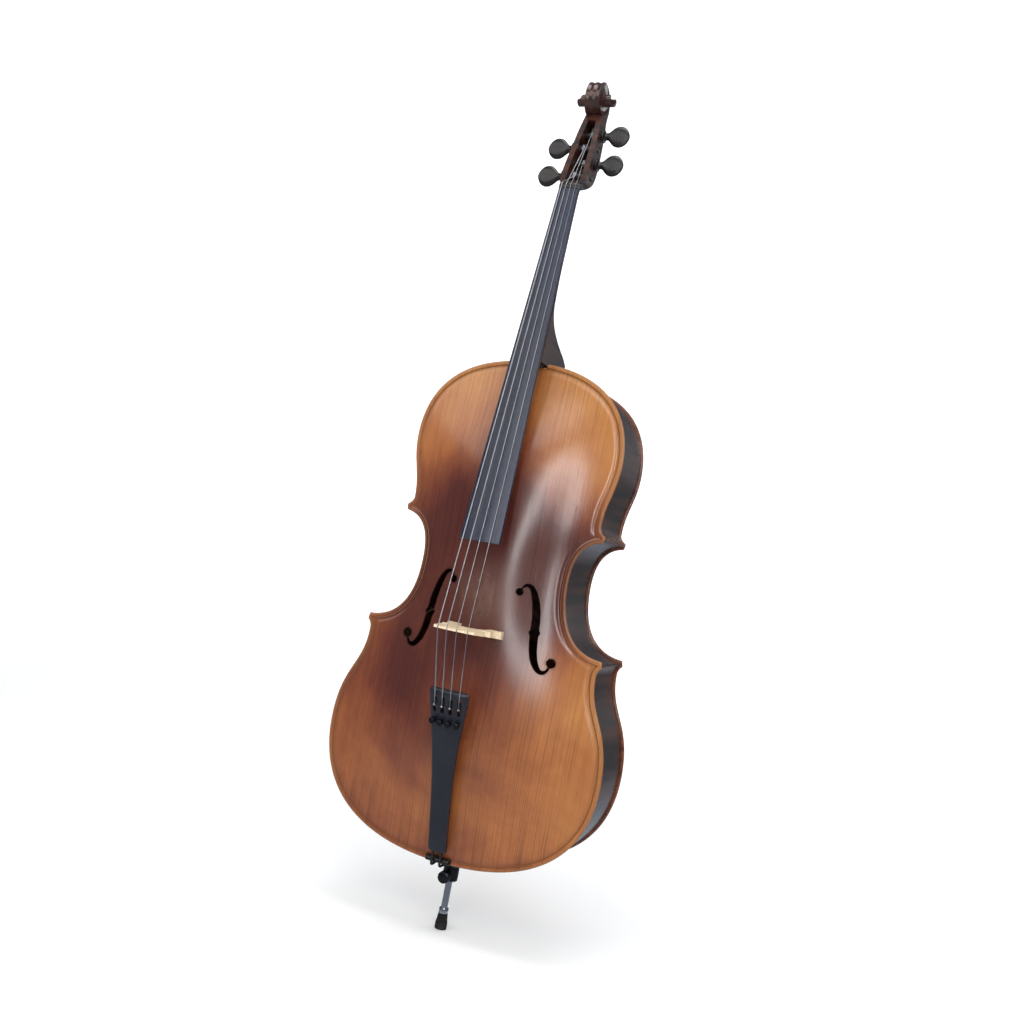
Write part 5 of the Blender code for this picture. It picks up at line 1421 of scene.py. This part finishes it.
def bridge():
    side = spline([foot_point(43.0)] + [(x, BASE - out) for x, out in BRIDGE_SIDE]
                  + [(31.8, bridge_top(31.6) + 1.0)])
    crown = [(x, bridge_top(x) + grooves(x, BRIDGE_GAP, 0.5, 0.7))
             for x in np.linspace(31.4, -31.4, 121)]
    right = [(x, BASE - out) for x, out in BRIDGE_ARCH]
    under = spline([foot_point(23.6)] + right + [(0.0, BASE - BRIDGE_CROWN_OUT)]
                   + [(-x, y) for x, y in right[::-1]] + [foot_point(-23.6)])
    foot_r = [foot_point(x) for x in np.linspace(26, 41, 8)]
    foot_l = [(-x, foot_point(-x)[1]) for x in np.linspace(41, 26, 8)]
    left = [(-x, y) for x, y in side[::-1]]
    loop = np.vstack([side, crown, left, foot_l, under[::-1], foot_r])
    heart = np.array([
        (9.0 * math.sin(a) ** 3,
         BASE - 54.0 - (7.8 * math.cos(a) - 2.8 * math.cos(2 * a) - 1.2 * math.cos(3 * a)))
        for a in np.linspace(0, 2 * math.pi, 57)[:-1]])
    edges = ring_edges(0, len(loop)) + ring_edges(len(loop), len(heart))
    grid = np.array([(x, y) for x in np.arange(-42, 43, 3.0)
                     for y in np.arange(BRIDGE_TOP + 2, BASE, 3.0)])
    grid = grid[inside(grid, loop) & ~inside(grid, heart)]
    grid = grid[(seg_distance(grid, loop, True) > 1.4) & (seg_distance(grid, heart, True) > 1.4)]
    pts, tris = triangulate(np.vstack([loop, heart, grid]), edges, loop, [heart])
    verts = []
    for s in (-1, 1):
        for x, y in pts:
            t = min(max((BASE - y) / BRIDGE_H, 0), 1)
            # the two faces taper a little differently
            half_t = 5.6 - 4.1 * t ** (0.8 if s < 0 else 1.05)
            z = STOP + s * half_t
            # the feet follow the arched top
            verts.append((x, top_y(x, z) - 0.1 if y > top_y(x, STOP) - 0.4 else y, z))
    obj = mesh_object("bridge_maple", verts, slab_faces(tris, len(pts)), 40)
    dress(bevel(obj, 0.35, 2, 50), BRIDGE_MAPLE, "bridge")


bridge()

# ================================================================ tailpiece and tuners
TAIL_HALF = [(17, 11.6), (19, 13.4), (22, 14.0), (60, 14.4), (100, 15.4), (140, 17.0),
             (180, 20.6), (215, 25.6), (238, 29.0), (250, 30.2), (254, 30.0), (256, 29.0)]
TAIL_END_ROUND = [(17, 2.2), (19, 0.8), (22, 0.0), (250, 0.0), (254, 0.6), (256, 2.4)]
TAIL_LOW = [(17, 8.2), (22, 9.2), (200, TAIL_THICK)]
# right half of a slot's outline, in half widths and half lengths
SLOT_RIGHT = [(0.3, -1), (0.72, -0.95), (1, -0.84), (1, 0.84), (0.72, 0.95), (0.3, 1)]
SLOT_SHAPE = SLOT_RIGHT + [(-x, z) for x, z in SLOT_RIGHT[::-1]]
SLOT_SHAPE = SLOT_SHAPE[-3:] + SLOT_SHAPE[:-3]


def tail_point(x, z, depth):
    """Point at a depth below the tailpiece's tilted face."""
    return Vector((x, TAIL_Y0 + TAIL_TILT * (z - TAIL_Z0), z)) - TAIL_OUT * depth


def tailpiece():
    rings = []
    for z in [17.0, 17.6, 18.6, 20, 22, *np.linspace(27, 246, 50), 249, 251.5, 253.5, 255, 256.0]:
        w = along(z, TAIL_HALF)
        end, low = between(z, TAIL_END_ROUND), between(z, TAIL_LOW)
        ring = [(x, sag(x, TAIL_R) + end + 0.9 * math.exp(-((w - abs(x)) / 1.2) ** 2))
                for x in np.linspace(-w, w, 41)]
        ring += [(w, low - 2.0), (w - 0.8, low - 0.7), (w - 2.5, low)]
        ring += [(x, low) for x in np.linspace(w - 5, -w + 5, 9)]
        ring += [(-w + 2.5, low), (-w + 0.8, low - 0.7), (-w, low - 2.0)]
        rings.append([tuple(tail_point(x, z, depth)) for x, depth in ring])
    obj = mesh_object("tailpiece_moulded", *loft(rings), 40)
    tools = []
    for s in (-1, 1):
        gut_hole = lathe([(2.3, 0.0), (2.3, 30.5)], tail_point(6.5 * s, 12.0, GUT_DEPTH),
                         TAIL_DIR, 24)
        tools.append(cutter(gut_hole))
    for place in STRING_PLACE.values():
        x = place * TAIL_GAP
        drop = sag(x, TAIL_R)
        middle = (SLOT_Z0 + SLOT_Z1) / 2
        slot = [[tuple(tail_point(x + 2.8 * sx, middle + 12.5 * sz, d)) for sx, sz in SLOT_SHAPE]
                for d in (-8, 20)]
        tools.append(cutter(loft(slot)))
        screw_hole = [(1.9, -22.0), (1.9, 0.3), (3.9, 0.6), (3.9, 6)]
        tools.append(cutter(lathe(screw_hole, tail_point(x, SCREW_Z, drop), TAIL_OUT, 32)))
        # a string groove over the head
        groove = [tail_point(x, 246.0, drop - 0.8), tail_point(x, 260.0, drop - 0.2)]
        tools.append(cutter(tube(groove, 1.3, 16)))
    axle = tail_point(0, AXLE_Z, AXLE_DEPTH)
    tools.append(cutter(lathe([(1.45, -24.0), (1.45, 40.0)], axle, (1, 0, 0), 24)))
    cut(obj, tools, 36)
    dress(bevel(obj, 0.25, 2, 50), TAIL_PLASTIC, "tailpiece")


# radius, distance out from the tailpiece's face
TUNER_SCREW = [(1.5, 1.0), (3.0, 1.15), (3.2, 1.4), (3.2, 3.2), (4.2, 3.5), (4.6, 3.9),
               (4.6, 8.5), (4.3, 8.9), (3.7, 9.3), (2.0, 9.35), (0.4, 9.3)]


def tuner(key):
    x = STRING_PLACE[key] * TAIL_GAP
    drop = sag(x, TAIL_R)
    end = -(TAIL_THICK - drop + 2.0)
    profile = [(0.6, end), (1.2, end + 0.5), (1.5, end + 0.9)] + TUNER_SCREW
    shape = lathe(profile, tail_point(x, SCREW_Z, drop), TAIL_OUT, 168, knurl=(28, 1.0, 0.965))
    dress(mesh_object(f"tuner_screw_{key}_knurled", *shape, 30), BLACK_NICKEL,
          f"tuner_screw_{key}", body=f"fine_tuner_screw_{key}")
    paint(frame["nodes"][f"tuner_lever_{key}"], LEVER_PLASTIC)


tailpiece()
for key in STRING_R:
    tuner(key)

# ================================================================ strings
# over the nut: z on the fingerboard's line, shift along z, fall of the string's centre
# plus its radius below that line
NUT_BENDS = [(NUT_END, -0.2, 1.1), (NUT_Z + 7.5, 0.0, -0.7), (NUT_Z + 4, 0.0, -0.85),
             (NUT_Z, -0.5, -0.85)]
# end ball: distance past the fork, radius
BALL = [(0.8, 1.2), (1.1, 1.7), (1.6, 2.0), (2.3, 2.05), (3.0, 2.0), (3.5, 1.7), (3.9, 1.0)]
COIL_TURNS, COIL_STEPS = 2.25, 28
FORK_LIFT = 2.4


def fork_point(place, z):
    x = place * TAIL_GAP
    return tail_point(x, z, sag(x, TAIL_R) - FORK_LIFT)


def string(key):
    """From the coil on its peg over the nut and the bridge to the ball at the tuner's fork."""
    r, place = STRING_R[key], STRING_PLACE[key]
    side, peg_z = PEGS[key]
    peg_y = peg_axis(peg_z)
    coil = peg_radius(3.0 * side, side, peg_z) + 0.25 + r
    path = []
    steps = int(COIL_TURNS * COIL_STEPS)
    for i in range(steps + 1):
        a = -2 * math.pi * COIL_TURNS + 2 * math.pi * COIL_TURNS * i / steps
        x = 2.6 * side + side * (2 * r + 0.35) * COIL_TURNS * (1 - i / steps)
        path.append((x, peg_y - coil * math.cos(a), peg_z - coil * math.sin(a)))
    nut_x = place * NUT_GAP
    for z, shift, fall in NUT_BENDS:
        path.append((nut_x, fb_top(z) + sag(nut_x) + fall - r, z + shift))
    x = place * BRIDGE_GAP
    y = bridge_top(x) - r + 0.35
    nut_pt, bridge_pt = Vector(path[-1]), Vector((x, y, STOP + 1.6))
    path += [nut_pt.lerp(bridge_pt, float(f)) for f in np.linspace(0.06, 0.94, 14)]
    path += [bridge_pt, (x, y - 0.1, STOP), (x, y + 0.1, STOP - 1.6)]
    fork, near = fork_point(place, 243.0), fork_point(place, 236.6)
    behind = Vector(path[-1])
    path += [behind.lerp(fork, f) for f in (0.1, 0.3, 0.5, 0.7, 0.9)]
    path += [fork, near]
    thin = min(r, 0.8)
    radii = [r] * (len(path) - 1) + [thin]
    for past, radius in [(0.6, thin)] + BALL:
        path.append(near - TAIL_DIR * past)
        radii.append(radius)
    obj = mesh_object(f"string_{key}_wound", *tube(path, radii, 14), 80)
    dress(obj, wound_string(f"string_{key}_metal", WINDING_PITCH[key]), f"string_{key}")


def silk(key):
    """Silk wrapping at the lower end of a string."""
    r, place = STRING_R[key], STRING_PLACE[key]
    x = place * BRIDGE_GAP
    a = Vector((x, bridge_top(x) - r + 0.45, STOP - 1.6))
    b = fork_point(place, 243.0)
    path = [a.lerp(b, f) for f in np.linspace(0.52, 0.97, 12)]
    obj = mesh_object(f"string_{key}_silk", *tube(path, r + 0.16, 14), 80)
    dress(obj, silk_thread(f"silk_{key}", SILK[key]))


for key in STRING_R:
    string(key)
for key in STRING_R:
    silk(key)


# ================================================================ saddle, tailgut
def saddle():
    rings = []
    for x in [*np.linspace(-20.0, -16.0, 10), *np.linspace(-15, 15, 13), *np.linspace(16, 20, 10)]:
        f = float(np.clip((20.0 - abs(x)) / 3.6, 0, 1))
        crest = -61.6 + (SADDLE_Y + 61.6) * math.sqrt(max(0.0, 1 - (1 - f) ** 2))
        # y, z round the section
        section = [(-GLUE_Y, 0.5), (-60.0, 0.5), (0.35 * -60.0 + 0.65 * crest, 0.7),
                   (crest + 0.6, 1.6), (crest + 0.05, 2.8), (crest, 4.2), (crest + 0.5, 5.8),
                   (crest + 1.8, 7.6), (-62.4 if crest < -62.6 else crest, 9.1), (-GLUE_Y, 9.1)]
        rings.append([(x, y, z) for y, z in section])
    dress(mesh_object("saddle_ebony", *loft(rings), 40), TURNED_EBONY, "saddle")


def tailgut():
    """Cord from the tailpiece over the saddle and round the endpin plug."""
    r = 1.9
    side = [(6.5, *tail_point(0, 40.0, GUT_DEPTH)[1:]), (6.5, *tail_point(0, 15.5, GUT_DEPTH)[1:]),
            (6.5, SADDLE_Y - r - 0.05, 5.2), (6.6, SADDLE_Y - r + 0.05, 1.6), (6.7, -69.0, -1.6),
            (6.8, -65.0, -3.0), (7.2, -58.0, -2.8), (9.5, -30.0, -2.6), (13.0, -11.0, -2.6)]
    turn = [(15.3 * math.cos(a), 15.3 * math.sin(a), -2.8)
            for a in np.radians(np.linspace(-35, 90, 9))]
    right = np.array(side + turn)
    left = (right[:-1] * [-1, 1, 1])[::-1]
    path = spline(np.vstack([right, left]))
    dress(mesh_object("tailgut_cord", *tube(path, r, 14), 80), GUT_PLASTIC, "tailgut")


saddle()
tailgut()

# ================================================================ endpin
# closed (radius, z) loops of the sleeves
PLUG = [
    (12.0, 32.0), (12.9, 31.0), (12.95, 2.0), (13.0, -4.7), (14.2, -5.0), (16.4, -5.3),
    (17.1, -6.2), (17.2, -7.6), (16.9, -8.6), (16.2, -9.2), (15.9, -9.9), (16.1, -10.6),
    (15.6, -11.6), (14.6, -13.0), (13.4, -14.8), (12.6, -16.1), (9.0, -16.2),
    (BORE_R + 0.1, -16.2), (BORE_R + 0.1, 32.0),
]
COLLAR = [
    (11.0, -16.35), (11.7, -16.5), (12.0, -16.9), (12.0, -19.0), (11.6, -19.4), (11.6, -20.0),
    (12.0, -20.4), (12.0, -34.6), (11.6, -35.0), (11.6, -35.6), (12.0, -36.0), (11.8, -37.2),
    (11.0, -37.9), (BORE_R + 0.1, -38.0), (BORE_R + 0.1, -16.35),
]
FERRULE = [
    (6.0, -88.2), (6.9, -88.0), (7.2, -87.4), (7.2, -85.4), (6.9, -85.1), (6.9, -84.5),
    (7.2, -84.2), (7.2, -81.2), (6.9, -80.5), (6.2, -80.2), (BORE_R - 0.25, -80.2),
    (BORE_R - 0.25, -88.2),
]
# radius, distance out along -y
THUMBSCREW = [
    (2.2, ROD_R + 0.35), (3.0, ROD_R + 1.2), (3.0, 15.0), (4.6, 15.2), (5.0, 15.6), (5.0, 18.8),
    (7.6, 19.4), (8.8, 19.9), (9.15, 20.8), (9.15, 27.6), (8.8, 28.5), (7.8, 29.1), (5.0, 29.6),
    (2.0, 29.75), (0.5, 29.8),
]
# radius, z
ROD = [(1.2, -102.0), (3.6, -101.6), (4.7, -100.8), (ROD_R, -100.0), (ROD_R, ROD_TOP - 1.4),
       (ROD_R - 0.4, ROD_TOP - 0.5), (ROD_R - 1.4, ROD_TOP)]
TIP = [(r, z - FLOOR_DROP) for r, z in (
    (0.3, 0), (6.0, 0), (8.2, 0.1), (8.9, 0.5), (9.2, 1.4), (9.2, 3.2), (8.9, 3.6), (8.9, 4.4),
    (9.2, 4.8), (9.2, 9.0), (8.9, 11.5), (8.2, 14.5), (7.7, 19.0))]
TIP += [(7.4, -89.2), (6.9, -88.65), (BORE_R, -88.6), (BORE_R, -103.0), (0.3, -103.0)]


def endpin():
    dress(mesh_object("endpin_plug_turned", *sleeve(PLUG, 72)), TURNED_EBONY, "endpin_plug")
    collar = mesh_object("endpin_collar_turned", *sleeve(COLLAR, 72))
    screw_at, outward = (0, 0, THUMB_Z), (0, -1, 0)
    cut(collar, [cutter(lathe([(3.4, 1.0), (3.4, 16.0)], screw_at, outward, 32))])
    dress(collar, DARK_METAL, "endpin_collar")
    knob = lathe(THUMBSCREW, screw_at, outward, 240, knurl=(40, 0.97, 1.0))
    dress(mesh_object("endpin_thumbscrew_knurled", *knob, 30), DARK_METAL,
          "endpin_thumbscrew", body="thumbscrew")
    dress(mesh_object("endpin_rod_steel", *lathe(ROD, n=56)), STEEL, "endpin_rod",
          body="endpin")
    dress(mesh_object("endpin_ferrule_bright", *sleeve(FERRULE, 64)), CHROME,
          "endpin_ferrule", body="endpin")
    dress(mesh_object("endpin_tip_rubber", *lathe(TIP, n=56)), RUBBER, "endpin_tip",
          body="endpin")


endpin()

# ================================================================ the solids that stay
for name, node in frame["nodes"].items():
    if node.hide_render:
        continue
    if name.startswith(("lining", "block")) or name in ("bass_bar", "soundpost"):
        paint(node, BARE_SPRUCE)
    elif name == "tuner_axle":
        paint(node, STEEL)


# ================================================================ stage, light, camera (metres)
def stage_white():
    m = Shader("stage_white")
    col = m.mix(m.noise(2, detail=2.0), (0.90, 0.90, 0.90, 1), (0.93, 0.93, 0.93, 1))
    seen = m.node("LightPath").outputs["Is Camera Ray"]
    x, y, _ = m.xyz()
    depth = m.upto(m.sub(y, 0.6), 2.2)
    # the lamps don't reach the floor's far parts, so those are evened out on all sides
    away = m.op("SQRT", m.add(m.mul(x, x), m.mul(y, y)))
    depth = m.op("MAXIMUM", depth, m.upto(m.sub(away, 1.7), 2.0))
    return m.set(color=col, rough=0.9, spec=0.1, glow=(1.0, 1.0, 1.0, 1.0),
                 glow_strength=m.mul(seen, m.vary(0.10, 0.42, depth)))


def stage():
    """Floor that sweeps up into a wall behind the cello."""
    mat = stage_white()
    bend_y, bend_r = 2.2, 1.6
    profile = [(-6.0, 0.0), (bend_y, 0.0)]
    profile += [(bend_y + bend_r * math.sin(a), bend_r - bend_r * math.cos(a))
                for a in np.linspace(0.1, math.pi / 2, 14)]
    profile.append((3.8, 6.0))
    bm = bmesh.new()
    rows = [[bm.verts.new((x, y, z)) for x in np.linspace(-8, 8, 9)] for y, z in profile]
    for a, b in zip(rows, rows[1:]):
        for i in range(8):
            bm.faces.new((a[i], a[i + 1], b[i + 1], b[i]))
    mesh = bpy.data.meshes.new("stage_sweep")
    bm.to_mesh(mesh)
    bm.free()
    mesh.polygons.foreach_set("use_smooth", [True] * len(mesh.polygons))
    obj = bpy.data.objects.new("stage_sweep", mesh)
    obj.data.materials.append(mat)
    bpy.context.scene.collection.objects.link(obj)
    obj.visible_glossy = False


def world():
    """One background for the camera, one for reflections and one for the fill light."""
    studio = bpy.data.worlds.new("studio")
    bpy.context.scene.world = studio
    studio.use_nodes = True
    tree = studio.node_tree
    tree.nodes.clear()

    def background(colour, strength):
        return add_node(tree, "Background", {0: colour, 1: strength}).outputs[0]

    def mix(fac, a, b):
        return add_node(tree, "MixShader", {0: fac, 1: a, 2: b}).outputs[0]

    ray = add_node(tree, "LightPath").outputs
    seen = background((0.98, 0.98, 0.98, 1), strength=1.0)
    fill = background((0.95, 0.97, 1.0, 1), strength=0.62)
    # reflections are brighter below the horizon
    where = add_node(tree, "TexCoord").outputs["Generated"]
    height = add_node(tree, "SeparateXYZ", {0: where}).outputs[2]
    low = add_node(tree, "MapRange", {"Value": height, "From Min": -0.12, "From Max": -0.32,
                                      "To Min": 0.10, "To Max": 0.42}).outputs[0]
    gloss = background((0.80, 0.88, 1.0, 1), strength=low)
    light = mix(ray["Is Glossy Ray"], fill, gloss)
    add_node(tree, "OutputWorld", {0: mix(ray["Is Camera Ray"], light, seen)})


def area(name, at, target, size, power, colour=(1, 1, 1)):
    data = bpy.data.lights.new(name, "AREA")
    data.shape = "RECTANGLE"
    data.size, data.size_y = size
    data.energy = power
    data.color = colour
    obj = bpy.data.objects.new(name, data)
    obj.location = at
    obj.rotation_euler = (Vector(target) - Vector(at)).to_track_quat("-Z", "Y").to_euler()
    bpy.context.scene.collection.objects.link(obj)


def camera(at, target, roll, lens):
    data = bpy.data.cameras.new("camera")
    data.sensor_width = 36.0
    data.lens = lens
    obj = bpy.data.objects.new("camera", data)
    bpy.context.scene.collection.objects.link(obj)
    at = Vector(at)
    forward = (Vector(target) - at).normalized()
    level = forward.cross(Vector((0, 0, 1))).normalized()
    upright = level.cross(forward)
    up = upright * math.cos(roll) - level * math.sin(roll)
    right = level * math.cos(roll) + upright * math.sin(roll)
    rows = [(right[i], up[i], -forward[i], at[i]) for i in range(3)]
    obj.matrix_world = Matrix((*rows, (0, 0, 0, 1)))
    bpy.context.scene.camera = obj


stage()
world()
area("key_left", at=(-2.2, -2.6, 2.5), target=(0, 0, 0.6), size=(2.6, 2.4), power=38,
     colour=(1.0, 0.985, 0.96))
area("key_right", at=(1.9, -2.5, 1.9), target=(0, 0, 0.5), size=(1.6, 1.6), power=30,
     colour=(1.0, 0.99, 0.97))
area("strip_front", at=(0.43, -2.75, 1.0), target=(0, 0, 0.7), size=(0.24, 1.2), power=12)
area("soft_high", at=(0.05, -2.55, 2.15), target=(0, 0, 0.75), size=(1.3, 0.8), power=10)
area("top_soft", at=(0.2, -0.6, 2.9), target=(0, 0, 0.6), size=(1.6, 1.2), power=24)
area("back_rim", at=(1.5, 1.9, 1.5), target=(0, 0, 0.8), size=(0.9, 1.4), power=10)
camera(at=(0.5761, -1.5221, 0.5560), target=(0.0, -0.03, 0.640), roll=math.radians(10.75),
       lens=37.0)
bpy.context.scene.view_settings.view_transform = "Standard"
bpy.context.scene.view_settings.look = "None"
